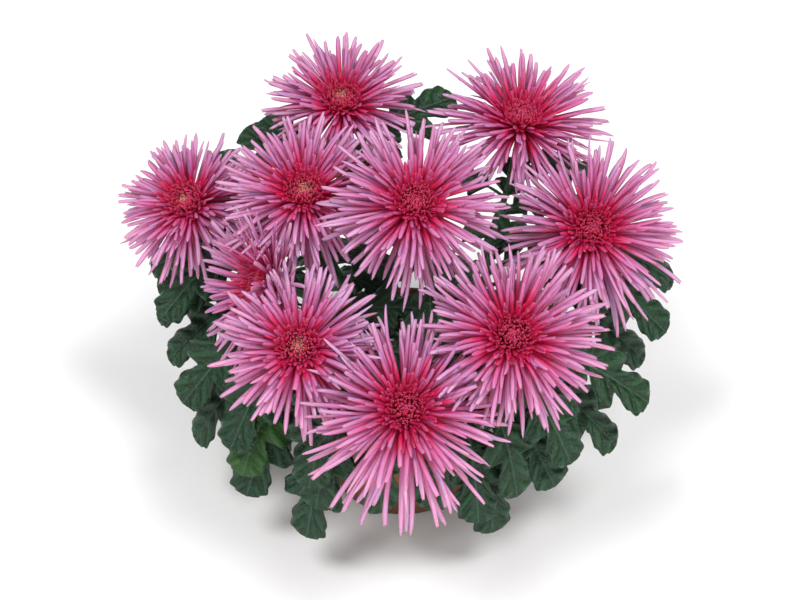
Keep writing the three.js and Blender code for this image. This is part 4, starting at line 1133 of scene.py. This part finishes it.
class Nodes:
    """Adds nodes to a tree. An input given as a socket is linked, and any other value is set."""

    def __init__(self, tree):
        self.tree = tree

    def fill(self, node, inputs):
        for key, value in inputs.items():
            if isinstance(value, bpy.types.NodeSocket):
                self.tree.links.new(value, node.inputs[key])
            else:
                node.inputs[key].default_value = value

    def add(self, kind, inputs=None, **settings):
        node = self.tree.nodes.new(kind)
        node.location = (len(self.tree.nodes) * 190, 0)
        for name, value in settings.items():
            setattr(node, name, value)
        self.fill(node, inputs or {})
        return node

    def maths(self, operation, first, second=0.0, clamp=False):
        inputs = {0: first, 1: second}
        return self.add("ShaderNodeMath", inputs, operation=operation, use_clamp=clamp).outputs[0]

    def plus(self, first, second):
        return self.maths("ADD", first, second)

    def minus(self, first, second):
        return self.maths("SUBTRACT", first, second)

    def times(self, first, second):
        return self.maths("MULTIPLY", first, second)

    def weighed(self, *pairs):
        """The sum of values, each times its weight."""
        return functools.reduce(self.plus, [self.times(value, weight) for value, weight in pairs])

    def between(self, value, low, high):
        """0 at or under low and 1 at or over high, with a smooth step between."""
        inputs = {"Value": value, "From Min": low, "From Max": high}
        node = self.add("ShaderNodeMapRange", inputs, interpolation_type="SMOOTHSTEP")
        return node.outputs["Result"]

    def from_middle(self, across):
        """0 in the middle of a width that runs from 0 to 1, and 1 at its edges."""
        return self.times(self.maths("ABSOLUTE", self.minus(across, 0.5)), 2)

    def ridge(self, away, width):
        """1 on a line, falling to 0 where the distance from it is the width."""
        return self.maths("SUBTRACT", 1, self.maths("DIVIDE", away, width, clamp=True), clamp=True)

    def blend(self, share, first, second):
        first = first if isinstance(first, bpy.types.NodeSocket) else (*first, 1)
        second = second if isinstance(second, bpy.types.NodeSocket) else (*second, 1)
        return self.add("ShaderNodeMix", {0: share, 6: first, 7: second}, data_type="RGBA").outputs[2]

    def glazed(self, colour, *layers):
        """A colour with others laid over it, each through a mask and by a share."""
        for mask, share, over in layers:
            colour = self.blend(self.times(mask, share), colour, over)
        return colour

    def ramp(self, value, *stops):
        """A colour for a value, through stops of (place, colour)."""
        node = self.add("ShaderNodeValToRGB", {0: value})
        line = node.color_ramp
        line.interpolation = "EASE"
        while len(line.elements) < len(stops):
            line.elements.new(0.5)
        for element, (place, colour) in zip(line.elements, stops):
            element.position = place
            element.color = (*colour, 1)
        return node.outputs["Color"]

    def noise(self, vector, scale, detail, roughness):
        inputs = {"Vector": vector, "Scale": scale, "Detail": detail, "Roughness": roughness}
        return self.add("ShaderNodeTexNoise", inputs).outputs["Fac"]

    def object_place(self):
        return self.add("ShaderNodeTexCoord").outputs["Object"]

    def surface_place(self):
        """The surface's own two coordinates."""
        place = self.add("ShaderNodeUVMap", uv_map="surface").outputs["UV"]
        parts = self.add("ShaderNodeSeparateXYZ", {0: place}).outputs
        return parts["X"], parts["Y"]

    def tone(self):
        """The four tone values of the surface."""
        node = self.add("ShaderNodeAttribute", attribute_name="tone", attribute_type="GEOMETRY")
        parts = self.add("ShaderNodeSeparateColor", {0: node.outputs["Color"]}).outputs
        return parts["Red"], parts["Green"], parts["Blue"], node.outputs["Alpha"]

    def bump(self, height, strength, distance):
        inputs = {"Height": height, "Strength": strength, "Distance": distance}
        return self.add("ShaderNodeBump", inputs).outputs["Normal"]

    def group(self, tree, inputs):
        return self.add("ShaderNodeGroup", inputs, node_tree=tree).outputs

    def grain(self, cloud_size, grain_size):
        """The cloudy value and the fine speckle of a surface."""
        inputs = {"Place": self.object_place(), "Cloud size": cloud_size, "Grain size": grain_size}
        outputs = self.group(grain_group(), inputs)
        return outputs["Cloud"], outputs["Grain"]

    def streaks(self, across, along, seed, count):
        inputs = {"Across": across, "Along": along, "Seed": seed, "Count": count}
        return self.group(streak_group(), inputs)["Streaks"]


def new_group(name, inputs, outputs):
    """An empty node group with float inputs, but for "Place", which is a vector."""
    tree = bpy.data.node_groups.new(name, "ShaderNodeTree")
    for key in inputs:
        kind = "NodeSocketVector" if key == "Place" else "NodeSocketFloat"
        tree.interface.new_socket(name=key, in_out="INPUT", socket_type=kind)
    for key in outputs:
        tree.interface.new_socket(name=key, in_out="OUTPUT", socket_type="NodeSocketFloat")
    nodes = Nodes(tree)
    return tree, nodes, nodes.add("NodeGroupInput").outputs, nodes.add("NodeGroupOutput")


@functools.lru_cache(maxsize=None)
def rib_group():
    """Ribs of a leaf: the midrib, the side ribs a step apart, a fine net and the cushions between.

    "Across" is 0 to 1 over the width with the midrib at a half, and "Along" the place of the side
    rib on the midrib.
    """
    tree, nodes, start, end = new_group(
        "Leaf ribs", ("Place", "Across", "Along"), ("Ribs", "Net", "Cushion"))
    out = nodes.from_middle(start["Across"])
    midrib = nodes.ridge(out, nodes.minus(0.05, nodes.times(start["Along"], 0.03)))
    to_rib = nodes.maths("PINGPONG", nodes.minus(start["Along"], RIB_START), RIB_STEP / 2)
    side = nodes.times(nodes.ridge(to_rib, nodes.minus(0.013, nodes.times(out, 0.009))), 0.14)
    net = nodes.add("ShaderNodeTexVoronoi", {"Vector": start["Place"], "Scale": 330.0},
                    feature="DISTANCE_TO_EDGE")
    off_rib = nodes.between(to_rib, 0.004, RIB_STEP * 0.42)
    nodes.fill(end, {
        "Ribs": nodes.maths("MAXIMUM", midrib, side),
        "Net": nodes.minus(1, nodes.between(net.outputs["Distance"], 0.0, 0.14)),
        "Cushion": nodes.times(off_rib, nodes.between(out, 0.02, 0.22)),
    })
    return tree


@functools.lru_cache(maxsize=None)
def streak_group():
    """Fine lengthwise streaks of a ray or floret: noise that is stretched along the length."""
    tree, nodes, start, end = new_group(
        "Petal streaks", ("Across", "Along", "Seed", "Count"), ("Streaks",))
    seed = nodes.times(start["Seed"], 90)
    place = nodes.add("ShaderNodeCombineXYZ", {
        0: nodes.plus(nodes.times(start["Across"], start["Count"]), seed),
        1: nodes.times(start["Along"], 2.2), 2: seed,
    })
    noise = nodes.noise(place.outputs[0], 1.0, 2.0, 0.6)
    nodes.fill(end, {"Streaks": nodes.between(noise, 0.3, 0.7)})
    return tree


@functools.lru_cache(maxsize=None)
def grain_group():
    """Grain in object space: a cloudy value and a fine speckle."""
    tree, nodes, start, end = new_group(
        "Fine grain", ("Place", "Cloud size", "Grain size"), ("Cloud", "Grain"))
    cloud = nodes.noise(start["Place"], start["Cloud size"], 4.0, 0.6)
    grain = nodes.noise(start["Place"], start["Grain size"], 3.0, 0.65)
    nodes.fill(end, {
        "Cloud": nodes.between(cloud, 0.32, 0.68), "Grain": nodes.between(grain, 0.3, 0.7),
    })
    return tree


def new_material(name):
    """A material with its nodes and its Principled shader."""
    material = bpy.data.materials.new(name)
    material.use_nodes = True
    return material, Nodes(material.node_tree), material.node_tree.nodes["Principled BSDF"]


def leaf_material(settings):
    """Dark bluish green: paler ribs, clouds, painted shade in the creases, a pale edge with a painted
    glint, a paler underside.
    """
    material, nodes, shader = new_material("leaf_green")
    across, along = nodes.surface_place()
    random, under, edge, young = nodes.tone()
    ribs = nodes.group(rib_group(), {
        "Place": nodes.object_place(), "Across": across, "Along": along})
    cloud, grain = nodes.grain(95.0, 900.0)
    # Painted shade: the cushions' share makes the blade lighter on the cushions and darker in the creases
    # beside the ribs; the clouds' share is the leaf's own mottling.
    light = nodes.weighed((cloud, 0.4), (ribs["Cushion"], 0.6))
    colour = nodes.glazed(
        nodes.blend(light, settings.dark_colour, settings.light_colour),
        (random, 0.4, settings.blue_colour),
        (ribs["Net"], 0.05, settings.rib_colour),
        (grain, 0.06, settings.rib_colour),
        (young, 0.5, settings.young_colour),
        (ribs["Ribs"], 0.5, settings.rib_colour),
        # A thin pale rim along the edge: partly the paler underside seen where the margin curls, partly a
        # painted glint.
        (nodes.between(edge, 0.93, 1.0), 0.35, settings.edge_colour),
        (under, 0.8, settings.under_colour),
    )
    height = nodes.weighed((ribs["Cushion"], 2.2), (ribs["Net"], -0.5), (cloud, 0.8), (grain, 0.3))
    nodes.fill(shader, {
        "Base Color": colour,
        "Roughness": nodes.plus(0.3, nodes.times(cloud, 0.14)),
        "Normal": nodes.bump(height, 0.6, 0.0008),
        "Specular IOR Level": 0.4,
    })
    return material


def stem_material(settings):
    """Green stems with a grey down and a fine grain."""
    material, nodes, shader = new_material("stem_green")
    random = nodes.tone()[0]
    cloud, grain = nodes.grain(140.0, 1200.0)
    colour = nodes.glazed(
        nodes.blend(cloud, settings.stem_colour, settings.light_colour),
        (grain, 0.25, settings.rib_colour), (random, 0.3, settings.stem_colour))
    nodes.fill(shader, {
        "Base Color": colour,
        "Roughness": nodes.plus(0.55, nodes.times(grain, 0.2)),
        "Normal": nodes.bump(grain, 0.3, 0.0003),
        "Sheen Weight": 0.2,
    })
    return material


def ray_material(settings):
    """Crimson root, pink, pale lilac tip; streaked, with painted shade at the edges and a painted
    highlight down the middle.
    """
    material, nodes, shader = new_material("ray_pink")
    across, along = nodes.surface_place()
    random, away, level, _ = nodes.tone()
    streaks = nodes.streaks(across, along, random, 5.0)
    shift = nodes.times(nodes.minus(random, 0.5), 0.24)
    run = nodes.plus(nodes.weighed((away, 0.95), (along, 0.05)), shift)
    run = nodes.maths("ADD", run, nodes.times(streaks, 0.05), clamp=True)
    colour = nodes.ramp(
        run, (0.26, settings.base_colour), (0.36, settings.inner_colour), (0.5, settings.middle_colour),
        (0.68, settings.outer_colour), (0.92, settings.tip_colour))
    edge = nodes.between(nodes.from_middle(across), 0.45, 1.0)
    outer = nodes.between(run, 0.3, 0.6)
    colour = nodes.glazed(
        colour,
        # Painted shade: the ray's edges are darkened towards the inner crimson.
        (edge, 0.45, settings.inner_colour),
        # Painted highlight: a paler line down the middle of the outer part of each ray.
        (nodes.times(nodes.minus(1, edge), outer), 0.2, settings.tip_colour),
        (nodes.times(streaks, outer), 0.2, settings.middle_colour),
        (nodes.between(level, 0.7, 0.95), 0.6, settings.deep_colour),
    )
    height = nodes.plus(streaks, nodes.times(edge, -0.6))
    nodes.fill(shader, {
        "Base Color": colour, "Normal": nodes.bump(height, 0.3, 0.0003), "Roughness": 0.42,
        "Specular IOR Level": 0.3, "Subsurface Weight": 0.5, "Subsurface Scale": 0.004,
    })
    return material


def disc_material(settings):
    """Dark crimson florets with brighter tips, and gold where the middle has opened."""
    material, nodes, shader = new_material("disc_crimson")
    across, along = nodes.surface_place()
    random, golden, _, _ = nodes.tone()
    streaks = nodes.streaks(across, along, random, 3.0)
    red = nodes.ramp(
        nodes.plus(along, nodes.times(nodes.minus(random, 0.5), 0.3)),
        (0.1, settings.deep_colour), (0.6, settings.crimson_colour), (1.0, settings.tip_colour))
    gold = nodes.ramp(
        along, (0.1, settings.crimson_colour), (0.5, settings.gold_colour),
        (0.95, settings.pollen_colour))
    colour = nodes.glazed(nodes.blend(golden, red, gold), (streaks, 0.25, settings.crimson_colour))
    nodes.fill(shader, {
        "Base Color": colour, "Normal": nodes.bump(streaks, 0.3, 0.0003), "Roughness": 0.5,
        "Specular IOR Level": 0.35, "Subsurface Weight": 0.5, "Subsurface Scale": 0.003,
    })
    return material


def pot_material(settings):
    """Terracotta-coloured plastic: slightly cloudy, finely grained, and darker towards its foot in the
    mix's colour.
    """
    material, nodes, shader = new_material("pot_terracotta")
    cloud, grain = nodes.grain(28.0, 1500.0)
    height = nodes.add("ShaderNodeSeparateXYZ", {0: nodes.object_place()}).outputs["Z"]
    colour = nodes.glazed(
        nodes.blend(cloud, settings.pot_colour, settings.pot_worn_colour),
        (grain, 0.18, settings.pot_worn_colour),
        (nodes.between(height, 0.03, 0.0), 0.35, settings.soil_colour))
    nodes.fill(shader, {
        "Base Color": colour,
        "Roughness": nodes.plus(0.5, nodes.times(cloud, 0.2)),
        "Normal": nodes.bump(grain, 0.2, 0.0002),
    })
    return material


def soil_material(settings):
    """Dark crumbly mix with brown bark and pale grit."""
    material, nodes, shader = new_material("potting_mix")
    random = nodes.tone()[0]
    cloud, grain = nodes.grain(240.0, 1400.0)
    colour = nodes.glazed(
        nodes.blend(cloud, settings.soil_colour, settings.bark_colour),
        (nodes.between(random, 0.3, 0.8), 1, settings.bark_colour),
        (nodes.between(random, 0.9, 0.93), 1, settings.grit_colour),
        (grain, 0.3, settings.soil_colour))
    nodes.fill(shader, {
        "Base Color": colour, "Normal": nodes.bump(grain, 0.6, 0.0006), "Roughness": 0.92,
    })
    return material


# ---- Settings ----

def colour_setting(name, description, colour):
    return bpy.props.FloatVectorProperty(
        name=name, description=description, subtype="COLOR", size=3, min=0, max=1,
        default=linear(colour))


def length_setting(name, description, metres):
    return bpy.props.FloatProperty(
        name=name, description=description, subtype="DISTANCE", unit="LENGTH", min=0, default=metres,
        precision=5)


class RaySettings(bpy.types.PropertyGroup):
    """Sizes and colours of the rays."""

    count: bpy.props.IntProperty(name="Rays", description="Rays in each bloom", default=215, min=8)
    inner_count: bpy.props.IntProperty(
        name="Short rays", description="Short rays round each disc", default=150, min=1)
    width: length_setting("Width", "Width of a ray where it is broadest", 0.0031)
    deep_colour: colour_setting("Middle of the bloom", "Colour of the shortest rays", 0xB01946)
    base_colour: colour_setting("Root", "Colour at the root", 0xC21649)
    # The inner colour also darkens the rays' edges as painted shade, and the tip colour pales their
    # middles as a painted highlight.
    inner_colour: colour_setting("Inner", "Colour a third of the way out", 0xCC2860)
    middle_colour: colour_setting("Middle", "Colour half way out", 0xBE528C)
    outer_colour: colour_setting("Outer", "Colour two thirds of the way out", 0xBC78AC)
    tip_colour: colour_setting("Tip", "Colour at the tip", 0xCB9DC4)


class DiscSettings(bpy.types.PropertyGroup):
    """Sizes and colours of the florets in a bloom's middle."""

    count: bpy.props.IntProperty(name="Florets", description="Florets in each disc", default=260, min=6)
    width: length_setting("Width", "Width of a floret", 0.0014)
    deep_colour: colour_setting("Root", "Colour between the florets", 0xB21E44)
    crimson_colour: colour_setting("Floret", "Colour of the florets", 0xC22C52)
    tip_colour: colour_setting("Tip", "Colour of their tips", 0xC04068)
    gold_colour: colour_setting("Gold", "Colour of the opened florets", 0xBE6466)
    pollen_colour: colour_setting("Pollen", "Colour of their tips", 0xD88C82)


class LeafSettings(bpy.types.PropertyGroup):
    """Sizes and colours of leaves and stems."""

    thickness: length_setting("Thickness", "Thickness of a blade", 0.0006)
    puff: length_setting("Puff", "Height of the cushions between the ribs", 0.0024)
    # The dark and light greens are blended by the clouds and by the cushions, so they also carry painted
    # shade in the creases beside the ribs.
    dark_colour: colour_setting("Dark green", "Colour in the clouds' dark parts", 0x061B0B)
    light_colour: colour_setting("Light green", "Colour in the clouds' light parts", 0x1C4A26)
    blue_colour: colour_setting("Blue green", "Colour of the bluer leaves", 0x143826)
    rib_colour: colour_setting("Ribs", "Colour of the ribs", 0x4C7D57)
    # The edge colour is a thin pale rim: partly the paler underside at the curled margin, partly a
    # painted glint on the edge.
    edge_colour: colour_setting("Edge", "Colour of the thin edge", 0x5F7A69)
    under_colour: colour_setting("Underside", "Colour of the underside", 0x5C7464)
    young_colour: colour_setting("Young", "Colour of the young leaves", 0x3A6420)
    stem_colour: colour_setting("Stem", "Colour of the stems", 0x36542F)


class PotSettings(bpy.types.PropertyGroup):
    """Colours of the pot and the potting mix."""

    pot_colour: colour_setting("Pot", "Colour of the pot", 0x74432F)
    pot_worn_colour: colour_setting("Worn pot", "Colour where the pot is worn", 0x85543D)
    soil_colour: colour_setting("Mix", "Colour of the damp mix", 0x2A1D15)
    bark_colour: colour_setting("Bark", "Colour of the bark in it", 0x4A3424)
    grit_colour: colour_setting("Grit", "Colour of the pale grit", 0xB9B2A4)


class StageSettings(bpy.types.PropertyGroup):
    """The camera, the light and the floor."""

    aim: bpy.props.FloatVectorProperty(
        name="Aim", description="Point that the camera looks at", subtype="TRANSLATION",
        unit="LENGTH", size=3, default=(-0.002, 0.0, 0.1435), precision=4)
    distance: length_setting("Distance", "From the camera to that point", 1.24)
    elevation: bpy.props.FloatProperty(
        name="Elevation", description="Angle of the view above level", subtype="ANGLE",
        default=math.radians(40))
    lens: bpy.props.FloatProperty(
        name="Lens", description="Focal length in millimetres on a 36 mm wide sensor", default=90.0)
    floor_colour: colour_setting("Floor", "Colour of the floor", 0xFAFAFA)
    sky: bpy.props.FloatProperty(name="Sky", description="Strength of the light all round", default=0.27)
    key: bpy.props.FloatProperty(name="Key", description="Power of each main light", default=236.0)
    fill: bpy.props.FloatProperty(name="Fill", description="Power of the front light", default=13.0)


# ---- Operators ----

class MakePot(bpy.types.Operator):
    """Makes the turned pot with its rounded rim and drain holes"""

    bl_idname = "chrysanthemum.make_pot"
    bl_label = "Make pot"

    def execute(self, context):
        shells = Shells()
        shells.add(turned(pot_profile(), 144)[None])
        pot = shells.piece("pot_turned", pot_material(context.scene.chrysanthemum_pot))
        pins = Shells()
        pins.add(drain_pins())
        cut_away(pot, pins.piece("drain_pins", pot.data.materials[0]))
        dress(pot, "pot", "pot")
        return {"FINISHED"}


class MakeSoil(bpy.types.Operator):
    """Makes the crumbly potting mix"""

    bl_idname = "chrysanthemum.make_soil"
    bl_label = "Make potting mix"

    def execute(self, context):
        shells = Shells()
        shells.add(soil_rings()[None])
        crumbs = crumb_rings(260, 11)
        shade = np.random.default_rng(12).uniform(0, 1, (len(crumbs), 1, 1))
        shells.add(crumbs, tone=toned(shade.shape, shade))
        soil = shells.piece("potting_mix", soil_material(context.scene.chrysanthemum_pot))
        dress(soil, "soil", "soil")
        return {"FINISHED"}


class MakeCuttings(bpy.types.Operator):
    """Makes the stems with their cups, and the leaves, of each cutting"""

    bl_idname = "chrysanthemum.make_cuttings"
    bl_label = "Make stems and leaves"

    def execute(self, context):
        settings = context.scene.chrysanthemum_leaf
        leaf_look = leaf_material(settings)
        stem_look = stem_material(settings)
        leaves = list(enumerate(placed_leaves()))
        for cutting, plan in enumerate(CUTTINGS):
            blades, stems = Shells(), Shells()
            for number, leaf in leaves:
                if leaf.cutting == cutting:
                    add_leaf(blades, leaf, number, settings)
            add_stems(stems, cutting)
            for bloom in plan["blooms"]:
                add_cup(stems, BLOOMS[bloom])
            node = f"cutting_{cutting + 1}"
            dress(blades.piece(f"leaves_{cutting + 1}", leaf_look), "leaf", node)
            dress(stems.piece(f"stems_{cutting + 1}", stem_look), "leaf", node)
        return {"FINISHED"}


class MakeRays(bpy.types.Operator):
    """Makes the rays of each bloom"""

    bl_idname = "chrysanthemum.make_rays"
    bl_label = "Make rays"

    def execute(self, context):
        look = ray_material(context.scene.chrysanthemum_rays)
        for number, rays in enumerate(all_rays()):
            shells = Shells()
            add_rays(shells, rays)
            add_core(shells, BLOOMS[number], RAY_CORE, (0.5, 0.1, 0.0, 0.0))
            piece = shells.piece(f"rays_{number + 1:02d}", look)
            dress(piece, "ray", f"bloom_{number + 1:02d}_rays")
        return {"FINISHED"}


class MakeDiscs(bpy.types.Operator):
    """Makes the disc of small florets in the middle of each bloom"""

    bl_idname = "chrysanthemum.make_discs"
    bl_label = "Make discs"

    def execute(self, context):
        settings = context.scene.chrysanthemum_disc
        look = disc_material(settings)
        for number, bloom in enumerate(BLOOMS):
            shells = Shells()
            add_florets(shells, bloom, number, settings)
            spot = DISC_CORE[1][:, None] / DISC_RADIUS
            golden = np.clip((bloom["gold"] - spot) / 0.2, 0, 1)
            add_core(shells, bloom, DISC_CORE, toned(golden.shape, 0.5, golden), 0.4)
            piece = shells.piece(f"disc_{number + 1:02d}", look)
            dress(piece, "disc", f"bloom_{number + 1:02d}_disc")
        return {"FINISHED"}


# Square lamps: name, the setting with the power, width and place in metres.
LAMPS = (
    ("key_left", "key", 2.2, (-2.4, -1.7, 5.8)),
    ("key_right", "key", 2.2, (2.4, -1.7, 5.8)),
    ("fill_light", "fill", 1.4, (0.5, -1.7, 1.0)),
)


class MakeStage(bpy.types.Operator):
    """Makes the pale floor, the soft light and the camera"""

    bl_idname = "chrysanthemum.make_stage"
    bl_label = "Make stage"

    def execute(self, context):
        settings = context.scene.chrysanthemum_stage
        self.make_floor(settings)
        self.make_light(context, settings)
        self.make_camera(context, settings)
        return {"FINISHED"}

    def make_floor(self, settings):
        """A pale square just under the pot; its half width and its height are in metres."""
        half, under = 4.0, -0.0003
        mesh = bpy.data.meshes.new("floor")
        corners = [(x, y, under) for x, y in ((-half, -half), (half, -half), (half, half), (-half, half))]
        mesh.from_pydata(corners, [], [(0, 1, 2, 3)])
        material, nodes, shader = new_material("floor_pale")
        nodes.fill(shader, {
            "Base Color": (*settings.floor_colour, 1), "Roughness": 0.9, "Specular IOR Level": 0.1,
        })
        mesh.materials.append(material)
        floor = bpy.data.objects.new("floor", mesh)
        bpy.context.scene.collection.objects.link(floor)

    def make_light(self, context, settings):
        world = bpy.data.worlds.new("studio")
        world.use_nodes = True
        sky = world.node_tree.nodes["Background"]
        sky.inputs["Color"].default_value = (1, 1, 1, 1)
        sky.inputs["Strength"].default_value = settings.sky
        context.scene.world = world
        for name, power, width, place in LAMPS:
            self.add_panel(name, getattr(settings, power), width, place, settings.aim)

    def add_panel(self, name, power, width, place, aim):
        """A lamp that looks from its place to the aim."""
        lamp = bpy.data.lights.new(name, "AREA")
        lamp.energy = power
        lamp.size = width
        panel = bpy.data.objects.new(name, lamp)
        panel.location = place
        panel.rotation_euler = (Vector(aim) - Vector(place)).to_track_quat("-Z", "Y").to_euler()
        bpy.context.scene.collection.objects.link(panel)

    def make_camera(self, context, settings):
        lens = bpy.data.cameras.new("camera")
        lens.lens = settings.lens
        lens.sensor_width = 36
        lens.clip_end = 50
        camera = bpy.data.objects.new("camera", lens)
        ahead = Vector((0, math.cos(settings.elevation), -math.sin(settings.elevation)))
        camera.location = Vector(settings.aim) - ahead * settings.distance
        camera.rotation_euler = ahead.to_track_quat("-Z", "Y").to_euler()
        context.scene.collection.objects.link(camera)
        context.scene.camera = camera
        context.scene.view_settings.view_transform = "Standard"


class ChrysanthemumPanel(bpy.types.Panel):
    """Lists the steps and their settings"""

    bl_idname = "VIEW3D_PT_chrysanthemum"
    bl_label = "Pot chrysanthemum"
    bl_space_type = "VIEW_3D"
    bl_region_type = "UI"
    bl_category = "Chrysanthemum"

    def draw(self, context):
        for operator, setting in STEPS:
            box = self.layout.box()
            box.operator(operator.bl_idname)
            group = getattr(context.scene, setting)
            for name in group.__annotations__:
                box.prop(group, name)


SETTINGS = {
    "chrysanthemum_pot": PotSettings,
    "chrysanthemum_leaf": LeafSettings,
    "chrysanthemum_rays": RaySettings,
    "chrysanthemum_disc": DiscSettings,
    "chrysanthemum_stage": StageSettings,
}
STEPS = (
    (MakePot, "chrysanthemum_pot"),
    (MakeSoil, "chrysanthemum_pot"),
    (MakeCuttings, "chrysanthemum_leaf"),
    (MakeRays, "chrysanthemum_rays"),
    (MakeDiscs, "chrysanthemum_disc"),
    (MakeStage, "chrysanthemum_stage"),
)


def register():
    for name, group in SETTINGS.items():
        bpy.utils.register_class(group)
        setattr(bpy.types.Scene, name, bpy.props.PointerProperty(type=group))
    for operator, _ in STEPS:
        bpy.utils.register_class(operator)
    bpy.utils.register_class(ChrysanthemumPanel)


def unregister():
    bpy.utils.unregister_class(ChrysanthemumPanel)
    for operator, _ in reversed(STEPS):
        bpy.utils.unregister_class(operator)
    for name, group in reversed(SETTINGS.items()):
        delattr(bpy.types.Scene, name)
        bpy.utils.unregister_class(group)


def main():
    register()
    bpy.ops.chrysanthemum.make_pot()
    bpy.ops.chrysanthemum.make_soil()
    bpy.ops.chrysanthemum.make_cuttings()
    bpy.ops.chrysanthemum.make_rays()
    bpy.ops.chrysanthemum.make_discs()
    bpy.ops.chrysanthemum.make_stage()
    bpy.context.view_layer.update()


if __name__ == "__main__":
    main()
